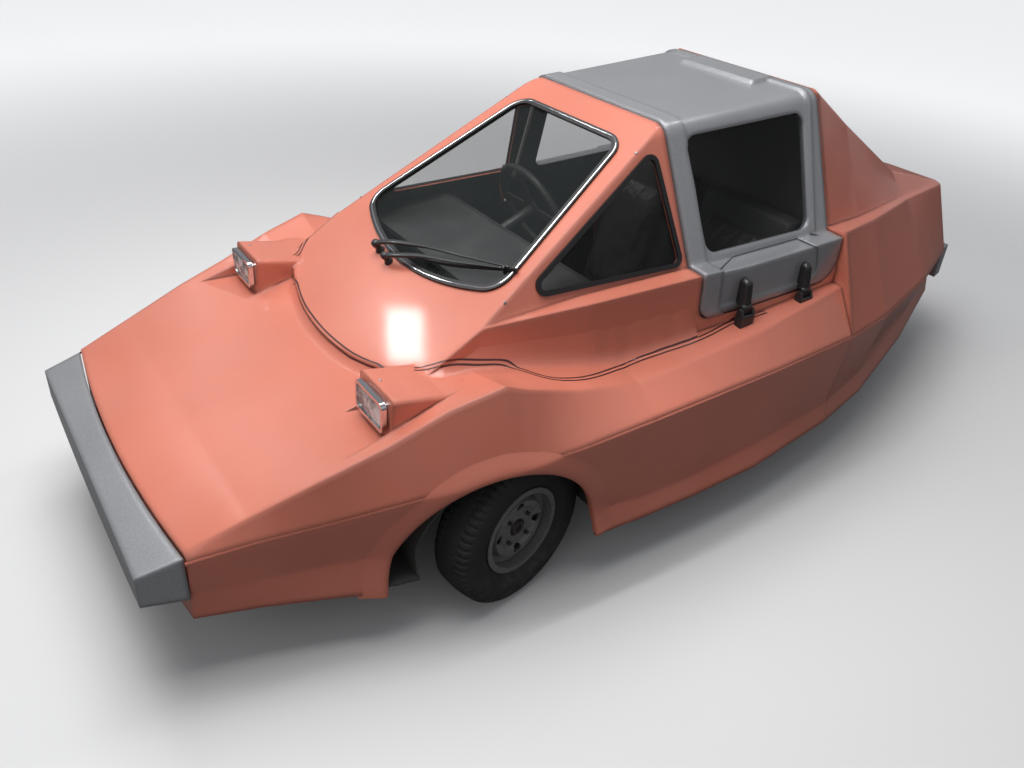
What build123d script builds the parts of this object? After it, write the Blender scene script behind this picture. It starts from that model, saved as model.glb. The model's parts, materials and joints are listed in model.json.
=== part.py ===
from build123d import *
import math
import os
from collections import namedtuple

# A two seat three wheeled car: two steered wheels in front, one wheel behind.
# X is to the car's left, the nose points to -Y, Z is up and the tyres stand on Z = 0.
# Stations along the car are given from the front axle, in millimetres.

os.makedirs("parts", exist_ok=True)

# Driving dimensions
nose_reach = 985.0
tail_reach = 2700.0
axle_y = (nose_reach - tail_reach) / 2
wall = 8.0
seam_gap = 0.3
shut_gap = 6.0
big = 900.0

# Wheels
rim_r = 140.0
rim_width = 114.0
rim_wall = 4.0
bead_r = 127.0
tyre_r = 245.0
tyre_width = 147.0
tread_width = 116.0
front_track = 1270.0
wheelbase = 2080.0
hub_bore_r = 29.0
disc_inset = 22.0
vent_hole_r = 15.0
vent_hole_pitch_r = 76.0
vent_hole_count = 4
stud_pitch_r = 50.8
stud_count = 4
stud_r = 6.0

# Steering
steer_rest = 12.0
hub_offset = 90.0
kingpin_x = front_track / 2 - hub_offset
stub_r = 12.0
rear_axle_r = 10.0
running_gap = 0.05
drum_r = 88.0
steering_wheel_x = -270.0
steering_wheel_y = 690.0
steering_wheel_z = 780.0
steering_wheel_r = 175.0
column_rake = 24.0
column_length = 420.0

# Cabin
screen_y = 102.0
screen_z = 868.0
screen_slope = 32.2
screen_bottom_x = 397.0
screen_top_x = 263.0
screen_length = 601.0
screen_corner_r = 75.0
screen_bow = 105.0
dome_front_y = -265.0
dome_side_x = 474.0
dome_side_y = -160.0
side_x = 799.0
side_run = 0.053
side_lean = 0.414
roof_front_y = 706.0
roof_front_z = 1245.0
roof_rise = 0.0742
roof_edge_r = 55.0
canopy_lead = 0.0765
canopy_rear_y = 1365.0
canopy_wall = 22.0
canopy_corner_r = 90.0
canopy_foot_r = 45.0
hoop_width = 70.0
hoop_proud = 7.0
rib_width = 20.0
rib_proud = 7.0
rib_foot = (1286.0, 873.0)
rib_head = (1318.0, 1300.0)
rib_inner_x = 210.0
raised_roof_y = 1203.0
raised_roof_x = 200.0
panel_depth = 5.0
panel_corners = [(738.0, 843.0), (758.0, 724.0), (1270.0, 742.0), (1236.0, 866.0)]
panel_corner_r = 40.0
sill_z = 690.0
sill_rise = 0.04
cabin_root_z = 560.0
canopy_foot_y = roof_front_y + canopy_lead * (roof_front_z - sill_z)
raised_roof = 13.0
glass = 5.0
seal_out = 8.0
quarter_seal_out = 4.0
seal_lap = 3.0
seal_in = 8.0
seal_height = 8.0
hinge_x = 600.0
hinge_z = 708.0
hinge_ys = (914.0, 1193.0)
hinge_pin_r = 5.0
hinge_barrel_r = 9.0
hinge_width = 34.0
strap_height = 96.0
strap_foot = 18.0
strap_back = 60.0
strap_thin = 2.0
hinge_foot_z = 640.0
hinge_foot_in = 12.0
hinge_foot_out = 16.0
hinge_foot_neck = 14.0
hinge_foot_head = 8.0
hinge_foot_width = 11.0
hinge_foot_play = 1.0
quarter_corners = [(131.0, 855.0), (715.0, 857.0), (659.0, 1186.0)]
quarter_corner_r = 28.0
door_window_corners = [(822.0, 872.0), (1272.0, 888.0), (1292.0, 1236.0), (778.0, 1206.0)]
door_window_corner_r = 42.0

# Nose, lamps and bumpers
bumper_half = 553.0
bumper_front_half = 534.0
bumper_back_y = -867.0
bumper_bow = 34.0
bumper_gap = 4.0
bracket_x = 300.0
bumper_top = 448.0
bumper_front_top = 420.0
bumper_front_bottom = 328.0
bumper_bottom = 314.0
lamp_x = 475.0
lamp_y = -339.0
lamp_z = 670.0
lamp_width = 156.0
lamp_height = 90.0
lamp_depth = 70.0
bezel = 9.0
pod_width = 188.0
pod_top = 727.0
pod_bottom = 625.0
pod_front_y = -318.0
pod_bend_y = -168.0
pod_bend_top = 702.0
pod_back_y = -40.0
pod_back_top = 700.0
pod_edge_r = 12.0
scoop_front_y = -505.0
scoop_floor = 603.0
tail_y = 2620.0
rear_bumper_half = 266.0
rear_bumper_top = 466.0
rear_bumper_bottom = 326.0
tail_lamp_r = 38.0
tail_lamp_x = 92.0
tail_lamp_z = 590.0

# Under the body
floor_z = 205.0
floor_wall = 8.0
on_floor_z = floor_z + floor_wall + seam_gap
arch_y = -70.0
arch_z = 180.0
arch_length = 324.0
arch_height = 330.0
arch_lip = 24.0
lip_height = 6.0
house_r = 300.0
house_inner_x = kingpin_x - 145
arm_z = 165.0
upper_arm_z = 335.0
arm_r = 13.0
crossmember_half = 230.0
rack_y = 110.0
rack_z = 285.0
rack_half = 210.0
rack_bar_r = 8.0
rack_r = 22.0
steering_arm = 110.0
steering_arm_in = 10.0
steering_arm_z = 260.0
subframe_x = 205.0
spring_r = 25.0
damper_r = 9.0
eye_r = 12.0
damper_foot_x = kingpin_x - 90
damper_head_x = kingpin_x - 185
damper_head_z = 500.0
swing_pivot_y = 1700.0
swing_x = 112.0
swing_r = 17.0
engine_size = (420.0, 270.0, 400.0)
engine_y = 1525.0
seat_x = 250.0
seat_width = 390.0
rear_frame_y = 1715.0
rear_frame_top = 610.0
exhaust_x = 185.0
exhaust_r = 15.0
silencer_r = 40.0
silencer_start = 2172.0
silencer_end = 2470.0

# Sections of the lower body, from nose to tail, one half.
# y from the front axle, top at the middle, then the wing edge, waist, sill crease and hem as x, z.
Section = namedtuple("Section", "y top wing_x wing_z waist_x waist_z crease_x crease_z hem_x hem_z")
front_sections = [
    Section(-900, 450, 538, 448, 560, 436, 536, 318, 526, 232),
    Section(-705, 495, 571, 520, 598, 457, 575, 318, 575, 222),
    Section(-511, 545, 605, 591, 638, 468, 612, 312, 632, 206),
    Section(-360, 585, 625, 640, 680, 489, 652, 305, 682, 194),
    Section(-197, 620, 642, 705, 715, 505, 690, 300, 712, 188),
    Section(-44, 650, 667, 746, 742, 520, 715, 290, 732, 184),
    Section(24, 660, 677, 721, 752, 527, 722, 285, 740, 182),
    Section(185, 680, 668, 665, 768, 540, 732, 270, 754, 180),
    Section(430, 690, 660, 612, 772, 552, 738, 240, 765, 180),
    Section(650, 690, 655, 622, 766, 555, 738, 240, 766, 180),
    Section(940, 706, 660, 656, 752, 554, 725, 250, 755, 180),
    Section(1365, 712, 618, 702, 713, 547, 680, 262, 698, 190),
]
# Sections behind the cabin: y, then ridge, foot, shoulder, waist, sill crease and hem as x, z.
Rear = namedtuple("Rear", "y ridge_x ridge_z foot_x foot_z wing_x wing_z "
                          "waist_x waist_z crease_x crease_z hem_x hem_z")
rear_sections = [
    Rear(1365, 333, 1294, 506, 878, 582, 885, 713, 547, 680, 262, 698, 190),
    Rear(1650, 276, 1138, 430, 842, 490, 850, 648, 530, 608, 272, 632, 200),
    Rear(2150, 195, 872, 275, 792, 300, 786, 478, 500, 425, 292, 450, 220),
    Rear(2620, 124, 744, 142, 740, 156, 734, 272, 462, 232, 320, 246, 250),
]
# Cabin sections ahead of the canopy's rear edge: y, shelf height, shelf's outer edge and foot as x.
Cabin = namedtuple("Cabin", "y shelf_z shelf_x foot_x")
cabin_sections = [
    Cabin(-320, 809, 462, 440),
    Cabin(-4, 809, 470, 474),
    Cabin(330, 835, 530, 528),
    Cabin(705, 846, 553, 553),
    Cabin(940, 852, 574, 576),
    Cabin(1365, 870, 580, 582),
]


def across(y):
    """Upright plane across the car at a station: local x is X, local y is Z."""
    return Plane(origin=(0, y + axle_y, 0), x_dir=(1, 0, 0), z_dir=(0, -1, 0))


def facing_aft(y):
    """The same upright plane seen from the nose: local x is -X, local y is Z."""
    return Plane(origin=(0, y + axle_y, 0), x_dir=(-1, 0, 0), z_dir=(0, 1, 0))


def along(x):
    """Upright plane along the car: local x runs aft from the front axle, local y is Z."""
    return Plane(origin=(x, axle_y, 0), x_dir=(0, 1, 0), z_dir=(1, 0, 0))


def level(z):
    """Level plane at a height: local x is X, local y runs aft from the front axle."""
    return Plane(origin=(0, axle_y, z))


def inset(points, depth):
    """Moves an open half profile inward by a depth: mitred corners, and a start that stays on the middle."""
    angles = [math.atan2(q[1] - p[1], q[0] - p[0]) for p, q in zip(points, points[1:])]
    moved = []
    for index, (px, pz) in enumerate(points):
        before = angles[max(index - 1, 0)]
        after = angles[min(index, len(angles) - 1)]
        turn = (before + after) / 2
        reach = depth / math.cos((after - before) / 2)
        if px == 0:
            moved.append((0, pz - depth / math.cos(after)))
        else:
            moved.append((px + reach * math.sin(turn), pz - reach * math.cos(turn)))
    return moved


def side_at(y, z):
    """The cabin side's half width at a station and height."""
    return side_x + side_run * y - side_lean * z


def roof_at(y):
    """The roof's height at its edge."""
    return roof_front_z + roof_rise * (y - roof_front_y)


def upper_points(s):
    return [(0, s.top), (s.wing_x, s.wing_z), (s.waist_x, s.waist_z)]


def lower_points(s):
    return [(s.waist_x, s.waist_z), (s.crease_x, s.crease_z), (s.hem_x, s.hem_z)]


def rear_points(s):
    return [
        (0, s.ridge_z),
        (s.ridge_x, s.ridge_z),
        (s.foot_x, s.foot_z),
        (s.wing_x, s.wing_z),
        (s.waist_x, s.waist_z),
    ]


def cabin_points(s):
    roof = roof_at(s.y)
    return [
        (0, roof),
        (side_at(s.y, roof), roof),
        (side_at(s.y, s.shelf_z), s.shelf_z),
        (s.shelf_x, s.shelf_z - 3),
        (s.foot_x, cabin_root_z),
    ]


def ruled(sections, points_of, depth=0.0, rise=0.0, sink=0.0, start=0.0, end=0.0, bowed=False, edge_r=0.0):
    """A full width form lofted by straight lines through half profiles, each closed at the middle plane.

    depth moves the profiles inward, rise and sink carry their ends up and down, start and end move the
    first and last profile aft, bowed makes the top a hollow arc and edge_r rounds the top edge.
    """
    last = len(sections) - 1
    with BuildPart() as form:
        for index, s in enumerate(sections):
            shift = start if index == 0 else end if index == last else 0
            points = inset(points_of(s), depth)
            if sink:
                points.append((points[-1][0], points[-1][1] - sink))
            points.append((0, points[-1][1]))
            if points[0][0] > 0:
                if rise:
                    points.insert(0, (points[0][0], points[0][1] + rise))
                points.insert(0, (0, points[0][1]))
            with BuildSketch(facing_aft(s.y + shift)) as profile:
                with BuildLine():
                    if bowed:
                        first, second = points[0], points[1]
                        middle = (second[0] / 2, first[1] + (second[1] - first[1]) / 4)
                        ThreePointArc(first, middle, second)
                        Polyline(*points[1:], points[0])
                    else:
                        Polyline(*points, close=True)
                make_face()
                if edge_r:
                    corner = Vector(points[1][0], points[1][1])
                    fillet(profile.vertices().sort_by_distance(corner)[0], edge_r)
        loft(ruled=True)
        mirror(about=Plane.YZ)
    return form.part


screen = Plane(
    origin=(0, screen_y + axle_y, screen_z),
    x_dir=(1, 0, 0),
    z_dir=(0, -math.sin(math.radians(screen_slope)), math.cos(math.radians(screen_slope))),
)


def side_face(depth=0.0):
    """The cabin side's own plane: local x runs aft, local y up the side and its normal points out."""
    normal = Vector(1, -side_run, side_lean).normalized()
    origin = Vector(side_at(0, screen_z), axle_y, screen_z) - normal * depth
    return Plane(origin=origin, x_dir=(side_run, 1, 0), z_dir=normal)


def on_side(corners):
    """Corners given as station and height, in the side plane's own coordinates."""
    local = []
    for y, z in corners:
        point = side_face().to_local_coords(Vector(side_at(y, z), y + axle_y, z))
        local.append((point.X, point.Y))
    return local


def half_space(plane, depth=big * 2):
    """Everything on the normal's side of a plane, as a solid to cut with."""
    with BuildPart() as block:
        with BuildSketch(plane):
            Rectangle(big * 4, big * 4)
        extrude(amount=depth)
    return block.part


def save(name, part):
    part.label = name
    export_step(part, f"parts/{name}.step")


def bow_at(x):
    """The bumper's bowed back edge, as a station for a distance from the middle."""
    return bumper_back_y - bumper_bow * (1 - (x / bumper_half) ** 2)


# The body's nose follows the bumper's bow.
with BuildPart() as nose_cut:
    with BuildSketch(level(0)):
        with BuildLine():
            reach = bumper_half + 60
            ThreePointArc((-reach, bow_at(reach) + bumper_gap), (0, bow_at(0) + bumper_gap),
                          (reach, bow_at(reach) + bumper_gap))
            Polyline((reach, bow_at(reach) + bumper_gap), (reach, -nose_reach - 100),
                     (-reach, -nose_reach - 100), (-reach, bow_at(reach) + bumper_gap))
        make_face()
    extrude(amount=big)

# The dome: the cabin's front foot is an arc in plan.
cabin_plan_x = dome_side_x + 140
cabin_plan_y = 300.0
with BuildPart() as dome_plan:
    with BuildSketch(level(500)):
        with BuildLine():
            ThreePointArc((-dome_side_x, dome_side_y), (0, dome_front_y), (dome_side_x, dome_side_y))
            Polyline((dome_side_x, dome_side_y), (cabin_plan_x, cabin_plan_y),
                     (cabin_plan_x, canopy_rear_y), (-cabin_plan_x, canopy_rear_y),
                     (-cabin_plan_x, cabin_plan_y), (-dome_side_x, dome_side_y))
        make_face()
    extrude(amount=big)

front_lead = 48.0
cabin_outer = ruled(cabin_sections, cabin_points, edge_r=roof_edge_r)
cabin_outer = (cabin_outer - half_space(screen)) & dome_plan.part
cabin_inner = ruled(cabin_sections, cabin_points, depth=wall, end=2 * wall, edge_r=roof_edge_r - wall)
cabin_inner = cabin_inner - half_space(screen.offset(-wall))
with BuildPart() as dome_inner_plan:
    with BuildSketch(level(400)):
        with BuildLine():
            ThreePointArc((-dome_side_x + wall, dome_side_y + wall), (0, dome_front_y + wall),
                          (dome_side_x - wall, dome_side_y + wall))
            Polyline((dome_side_x - wall, dome_side_y + wall), (cabin_plan_x, cabin_plan_y),
                     (cabin_plan_x, canopy_rear_y + 60), (-cabin_plan_x, canopy_rear_y + 60),
                     (-cabin_plan_x, cabin_plan_y), (-dome_side_x + wall, dome_side_y + wall))
        make_face()
    extrude(amount=big + 100)
cabin_inner = cabin_inner & dome_inner_plan.part

deck_outer = ruled(front_sections, upper_points, bowed=True) - nose_cut.part
deck_inner = ruled(front_sections, upper_points, depth=wall, sink=20, start=front_lead, end=2 * wall,
                   bowed=True)
tail_outer = ruled(rear_sections, rear_points, edge_r=20)
tail_inner = ruled(rear_sections, rear_points, depth=wall, sink=20, start=wall, end=-wall, edge_r=14)
skirt_outer = ruled(front_sections, lower_points) - nose_cut.part
skirt_inner = ruled(front_sections, lower_points, depth=wall, rise=20, sink=20, start=front_lead,
                    end=2 * wall)
tail_skirt_outer = ruled(rear_sections, lower_points)
tail_skirt_inner = ruled(rear_sections, lower_points, depth=wall, rise=20, sink=20, start=-wall, end=-wall)

# Lamp pods stand on the bonnet, with a wedge shaped hollow in front of each.
with BuildPart() as pod:
    with BuildSketch(along(lamp_x - pod_width / 2)):
        with BuildLine():
            Polyline((pod_front_y, pod_top), (pod_bend_y, pod_bend_top), (pod_back_y, pod_back_top),
                     (pod_back_y, 600), (pod_front_y - 6, 560), (pod_front_y - 6, pod_bottom), close=True)
        make_face()
    extrude(amount=pod_width)
    rails = pod.edges().filter_by(lambda e: e.center().Z > pod_back_top and abs(e.tangent_at(0.5).Y) > 0.9)
    fillet(rails, pod_edge_r)
    mirror(about=Plane.YZ)
with BuildPart() as scoop:
    with BuildSketch(along(lamp_x - pod_width / 2)):
        with BuildLine():
            Polyline((scoop_front_y, scoop_floor), (pod_front_y - 6, scoop_floor), (pod_front_y - 6, 800),
                     (scoop_front_y, 800), close=True)
        make_face()
    extrude(amount=pod_width)
    mirror(about=Plane.YZ)
with BuildPart() as scoop_wall:
    with BuildSketch(along(lamp_x - pod_width / 2 - wall)):
        with BuildLine():
            Polyline((scoop_front_y - wall, scoop_floor - wall), (pod_front_y + 40, scoop_floor - wall),
                     (pod_front_y + 40, 560), (pod_front_y + 50, 560), (pod_front_y + 50, 800),
                     (scoop_front_y - wall, 800), close=True)
        make_face()
    extrude(amount=pod_width + 2 * wall)
    mirror(about=Plane.YZ)
with BuildPart() as lamp_pocket:
    with BuildSketch(across(pod_front_y - 20)) as pocket:
        with Locations((lamp_x, lamp_z), (-lamp_x, lamp_z)):
            RectangleRounded(lamp_width - 2 * bezel, lamp_height - 2 * bezel, 14)
    extrude(amount=-90)

def screen_slab(grow, outward, inward):
    """A plate in the windscreen's outline, from outward of the screen's plane to inward of it."""
    with BuildPart() as slab:
        with BuildSketch(screen.offset(outward)) as outline:
            with BuildLine():
                ThreePointArc((-screen_bottom_x, 0), (0, -screen_bow), (screen_bottom_x, 0))
                Polyline((screen_bottom_x, 0), (screen_top_x, screen_length),
                         (-screen_top_x, screen_length), (-screen_bottom_x, 0))
            make_face()
            fillet(outline.vertices(), screen_corner_r)
            if grow:
                offset(amount=grow)
        extrude(amount=-outward - inward)
    return slab.part


def side_slabs(corners, corner_r, grow, outward, inward):
    """The same for a window in each cabin side, given by its corners' station and height."""
    with BuildPart() as slabs:
        with BuildSketch(side_face(-outward)) as outline:
            with BuildLine():
                Polyline(*on_side(corners), close=True)
            make_face()
            fillet(outline.vertices(), corner_r)
            if grow:
                offset(amount=grow)
        extrude(amount=-outward - inward)
        mirror(about=Plane.YZ)
    return slabs.part


def arch_slabs(grow, inner_x, outer_x):
    """The wheel arch's oval on both sides, between two distances from the middle."""
    with BuildPart() as slabs:
        with BuildSketch(along(inner_x)):
            with Locations((arch_y, arch_z)):
                Ellipse(arch_length + grow, arch_height + grow)
        extrude(amount=outer_x - inner_x)
        mirror(about=Plane.YZ)
    return slabs.part


def sill_at(y):
    return sill_z + sill_rise * (y - roof_front_y)


def cabin_slice(gap, lead=0.0):
    """What lies between the canopy's slanted front edge and its upright rear edge, above the sill.

    lead moves the front edge aft.
    """
    top = roof_front_z + 200
    with BuildPart() as piece:
        with BuildSketch(along(-big)) as outline:
            with BuildLine():
                Polyline((roof_front_y + gap + lead - canopy_lead * 200, top),
                         (canopy_foot_y + gap + lead, sill_at(canopy_foot_y) + gap),
                         (canopy_rear_y - gap, sill_at(canopy_rear_y) + gap), (canopy_rear_y - gap, top),
                         close=True)
            make_face()
            for y, corner_r in ((canopy_rear_y - gap, canopy_corner_r),
                                (canopy_foot_y + gap + lead, canopy_foot_r)):
                fillet(outline.vertices().sort_by_distance(Vector(y, sill_z + gap))[0], corner_r - gap)
        extrude(amount=2 * big)
    return piece.part


cabin_solid = ruled(cabin_sections, cabin_points, edge_r=roof_edge_r)

# Upper body: bonnet, dome, cabin sides, shoulders and fastback in one moulding, hollow and open below.
with BuildPart() as upper_body:
    add(deck_outer)
    add(cabin_outer)
    add(tail_outer)
    add(scoop.part, mode=Mode.SUBTRACT)
    add(pod.part)
    add(deck_inner + cabin_inner + tail_inner - scoop_wall.part, mode=Mode.SUBTRACT)
    add(lamp_pocket.part, mode=Mode.SUBTRACT)
    add(cabin_slice(0), mode=Mode.SUBTRACT)
    add(screen_slab(-seal_in, 20, 60), mode=Mode.SUBTRACT)
    add(side_slabs(quarter_corners, quarter_corner_r, -seal_in, 20, 60), mode=Mode.SUBTRACT)
save("upper_body", upper_body.part)

# Raised lips follow the skirt's surface round each arch.
with BuildPart() as arch_lips:
    add(ruled(front_sections, lower_points, depth=-lip_height, start=big / 2, end=-big))
    add(arch_slabs(arch_lip, house_inner_x, big), mode=Mode.INTERSECT)
    add(ruled(front_sections, lower_points, depth=wall / 2), mode=Mode.SUBTRACT)

# What a piece against the inside of the body may fill
house_room = (ruled(front_sections, lower_points, depth=wall + 3, rise=1, start=front_lead, end=-wall)
              + ruled(front_sections, upper_points, depth=wall + 3, sink=1, start=front_lead, end=-wall,
                      bowed=True))

# Lower body: the skirt below the waist, with a raised lip round each front wheel arch.
with BuildPart() as lower_body:
    add(skirt_outer)
    add(tail_skirt_outer)
    add(skirt_inner, mode=Mode.SUBTRACT)
    add(tail_skirt_inner, mode=Mode.SUBTRACT)
    add(arch_lips.part)
    add(arch_slabs(0, house_inner_x, big), mode=Mode.SUBTRACT)
save("lower_body", lower_body.part)

# Canopy: roof, both sides and their windows' openings in one thick shell. A hoop stands proud along its
# front edge, a rib behind each window and a box over the heads, and a panel is pressed in below each window.
def canopy_skin(proud):
    return ruled(cabin_sections, cabin_points, depth=-proud, edge_r=roof_edge_r + proud)


def side_prism(corners, corner_r=0.0):
    """A shape given by its corners' station and height, through the whole car from side to side."""
    with BuildPart() as prism:
        with BuildSketch(along(-big)) as outline:
            with BuildLine():
                Polyline(*corners, close=True)
            make_face()
            if corner_r:
                fillet(outline.vertices(), corner_r)
        extrude(amount=2 * big)
    return prism.part


def middle_block(half_width, start_y, end_y, bottom, top):
    with BuildPart() as block:
        with BuildSketch(level(bottom)):
            with Locations((0, (start_y + end_y) / 2)):
                Rectangle(2 * half_width, end_y - start_y)
        extrude(amount=top - bottom, taper=30)
    return block.part


rib_slab = side_prism([
    (rib_foot[0] - rib_width / 2, rib_foot[1]),
    (rib_foot[0] + rib_width / 2, rib_foot[1]),
    (rib_head[0] + rib_width / 2, rib_head[1]),
    (rib_head[0] - rib_width / 2, rib_head[1]),
])
rib_slab = rib_slab - middle_block(rib_inner_x, rib_foot[0] - 100, rib_head[0] + 100, roof_front_z - 100,
                                   roof_front_z - 99 + 160)
canopy_space = cabin_slice(shut_gap)
hoop = canopy_skin(hoop_proud) & (canopy_space - cabin_slice(shut_gap, lead=hoop_width))
ribs = canopy_skin(rib_proud) & rib_slab
roof_box = canopy_skin(raised_roof) & middle_block(raised_roof_x, raised_roof_y, canopy_rear_y - shut_gap,
                                                  roof_front_z, roof_front_z + 120)
pressed = (cabin_solid - ruled(cabin_sections, cabin_points, depth=panel_depth)) & side_prism(panel_corners,
                                                                                         panel_corner_r)
with BuildPart() as canopy:
    add(cabin_solid)
    add(canopy_space, mode=Mode.INTERSECT)
    add(hoop)
    add(ribs)
    add(roof_box)
    add(ruled(cabin_sections, cabin_points, depth=canopy_wall, end=5, edge_r=roof_edge_r - canopy_wall),
        mode=Mode.SUBTRACT)
    add(pressed, mode=Mode.SUBTRACT)
    add(side_slabs(door_window_corners, door_window_corner_r, 0, 40, 80), mode=Mode.SUBTRACT)
save("canopy", canopy.part)

# Glass and seals
with BuildPart() as windscreen:
    add(screen_slab(-seal_in - seam_gap, 0, glass))
save("windscreen", windscreen.part)
with BuildPart() as windscreen_seal:
    add(screen_slab(seal_out, seal_height, 0))
    add(screen_slab(-seal_in - 2 * seal_lap, seal_height + 5, 5), mode=Mode.SUBTRACT)
    add(screen_slab(-seal_in, 0, 5), mode=Mode.SUBTRACT)
save("windscreen_seal", windscreen_seal.part)
with BuildPart() as quarter_windows:
    add(side_slabs(quarter_corners, quarter_corner_r, -seal_in - seam_gap, 0, glass))
save("quarter_windows", quarter_windows.part)
with BuildPart() as quarter_seals:
    add(side_slabs(quarter_corners, quarter_corner_r, quarter_seal_out, seal_height, 0))
    add(side_slabs(quarter_corners, quarter_corner_r, -seal_in - seal_lap, seal_height + 5, 5),
        mode=Mode.SUBTRACT)
save("quarter_seals", quarter_seals.part)
with BuildPart() as canopy_windows:
    add(side_slabs(door_window_corners, door_window_corner_r, -seam_gap, -6, 6 + glass))
save("canopy_windows", canopy_windows.part)

# Sealing strip on the sill below each side of the canopy
with BuildPart() as canopy_seal:
    with BuildSketch(along(-big)):
        with BuildLine():
            start, end = canopy_foot_y + canopy_foot_r + 5, canopy_rear_y - canopy_corner_r - 5
            Polyline((start, sill_at(start)), (end, sill_at(end)), (end, sill_at(end) + shut_gap - 1),
                     (start, sill_at(start) + shut_gap - 1), close=True)
        make_face()
    extrude(amount=2 * big)
    add(cabin_solid, mode=Mode.INTERSECT)
    add(ruled(cabin_sections, cabin_points, depth=wall * 2, end=5), mode=Mode.SUBTRACT)
save("canopy_seal", canopy_seal.part)

# Canopy hinges: two straps on the canopy's left side, two feet on the ledge
with BuildPart() as hinge_straps:
    for y in hinge_ys:
        with BuildSketch(across(y - hinge_width / 2)):
            with BuildLine():
                Polyline((hinge_x - strap_back, hinge_z + strap_foot),
                         (hinge_x - hinge_barrel_r, hinge_z + strap_foot),
                         (hinge_x - hinge_barrel_r, hinge_z), (hinge_x + hinge_barrel_r, hinge_z),
                         (hinge_x + hinge_barrel_r, hinge_z + strap_foot),
                         (hinge_x - strap_thin, hinge_z + strap_height),
                         (hinge_x - strap_back, hinge_z + strap_height), close=True)
            make_face()
            with Locations((hinge_x, hinge_z)):
                Circle(hinge_barrel_r)
                Circle(hinge_pin_r + seam_gap, mode=Mode.SUBTRACT)
        extrude(amount=-hinge_width)
    with BuildSketch(along(hinge_x - strap_back)):
        for y in hinge_ys:
            with Locations((y, hinge_z + (strap_height - hinge_barrel_r) / 2)):
                SlotOverall(strap_height + hinge_barrel_r + hinge_width, hinge_width, rotation=90)
            with Locations((y, hinge_z - hinge_barrel_r)):
                Rectangle(hinge_width, hinge_width)
    extrude(amount=100, mode=Mode.INTERSECT)
    add(cabin_solid, mode=Mode.SUBTRACT)
save("hinge_straps", hinge_straps.part)
with BuildPart() as hinge_feet:
    for y in hinge_ys:
        pin_end = hinge_width / 2 + hinge_foot_play + hinge_foot_width
        with BuildSketch(across(y - pin_end)):
            with Locations((hinge_x, hinge_z)):
                Circle(hinge_pin_r)
        extrude(amount=-2 * pin_end)
        for start in (-pin_end, hinge_width / 2 + hinge_foot_play):
            with BuildSketch(across(y + start)):
                with BuildLine():
                    Polyline((hinge_x - hinge_foot_in, hinge_foot_z),
                             (hinge_x + hinge_foot_out, hinge_foot_z),
                             (hinge_x + hinge_foot_out, hinge_z - hinge_foot_neck),
                             (hinge_x + hinge_foot_head, hinge_z + hinge_foot_head),
                             (hinge_x - hinge_foot_head, hinge_z + hinge_foot_head),
                             (hinge_x - hinge_foot_in, hinge_z - hinge_foot_neck), close=True)
                make_face()
            extrude(amount=-hinge_foot_width)
    add(deck_outer, mode=Mode.SUBTRACT)
save("hinge_feet", hinge_feet.part)

# Bumpers
with BuildPart() as front_bumper:
    with BuildSketch(along(-bumper_half)):
        with BuildLine():
            Polyline((bumper_back_y, bumper_top), (-nose_reach + 5, bumper_front_top),
                     (-nose_reach, bumper_front_bottom), (bumper_back_y, bumper_bottom), close=True)
        make_face()
    extrude(amount=2 * bumper_half)
    with BuildSketch(level(0)):
        with BuildLine():
            ThreePointArc((-bumper_half, bumper_back_y), (0, bumper_back_y - bumper_bow),
                          (bumper_half, bumper_back_y))
            Polyline((bumper_half, bumper_back_y), (bumper_front_half, -nose_reach + 5))
            ThreePointArc((bumper_front_half, -nose_reach + 5), (0, -nose_reach),
                          (-bumper_front_half, -nose_reach + 5))
            Polyline((-bumper_front_half, -nose_reach + 5), (-bumper_half, bumper_back_y))
        make_face()
    extrude(amount=big, mode=Mode.INTERSECT)
    for x in (bracket_x, -bracket_x):
        with BuildSketch(level(bumper_bottom + 30)):
            with BuildLine():
                near, far = x - 30, x + 30
                Polyline((near, bow_at(near) - 2), (far, bow_at(far) - 2),
                         (far, bow_at(far) + bumper_gap - seam_gap),
                         (near, bow_at(near) + bumper_gap - seam_gap), close=True)
            make_face()
        extrude(amount=70)
save("front_bumper", front_bumper.part)
with BuildPart() as rear_bumper:
    with BuildSketch(level(rear_bumper_bottom)):
        with BuildLine():
            Polyline((-rear_bumper_half, tail_y + seam_gap), (rear_bumper_half, tail_y + seam_gap),
                     (rear_bumper_half - 20, tail_reach - 12))
            ThreePointArc((rear_bumper_half - 20, tail_reach - 12), (0, tail_reach),
                          (-rear_bumper_half + 20, tail_reach - 12))
            Line((-rear_bumper_half + 20, tail_reach - 12), (-rear_bumper_half, tail_y + seam_gap))
        make_face()
    extrude(amount=rear_bumper_top - rear_bumper_bottom)
save("rear_bumper", rear_bumper.part)

# Headlamps
with BuildPart() as headlamp_bezels:
    with BuildSketch(across(lamp_y - 4)):
        with Locations((lamp_x, lamp_z), (-lamp_x, lamp_z)):
            RectangleRounded(lamp_width, lamp_height, 16)
            RectangleRounded(lamp_width - 2 * bezel, lamp_height - 2 * bezel, 10, mode=Mode.SUBTRACT)
    extrude(amount=-14)
    with BuildSketch(across(lamp_y + 10)):
        with Locations((lamp_x, lamp_z), (-lamp_x, lamp_z)):
            RectangleRounded(lamp_width - 2 * bezel - 2, lamp_height - 2 * bezel - 2, 13)
    extrude(amount=-lamp_depth)
save("headlamp_bezels", headlamp_bezels.part)
with BuildPart() as headlamp_lenses:
    with BuildSketch(across(lamp_y)):
        with Locations((lamp_x, lamp_z), (-lamp_x, lamp_z)):
            RectangleRounded(lamp_width - 2 * bezel - 0.6, lamp_height - 2 * bezel - 0.6, 9.7)
    extrude(amount=-9.7)
save("headlamp_lenses", headlamp_lenses.part)
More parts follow.
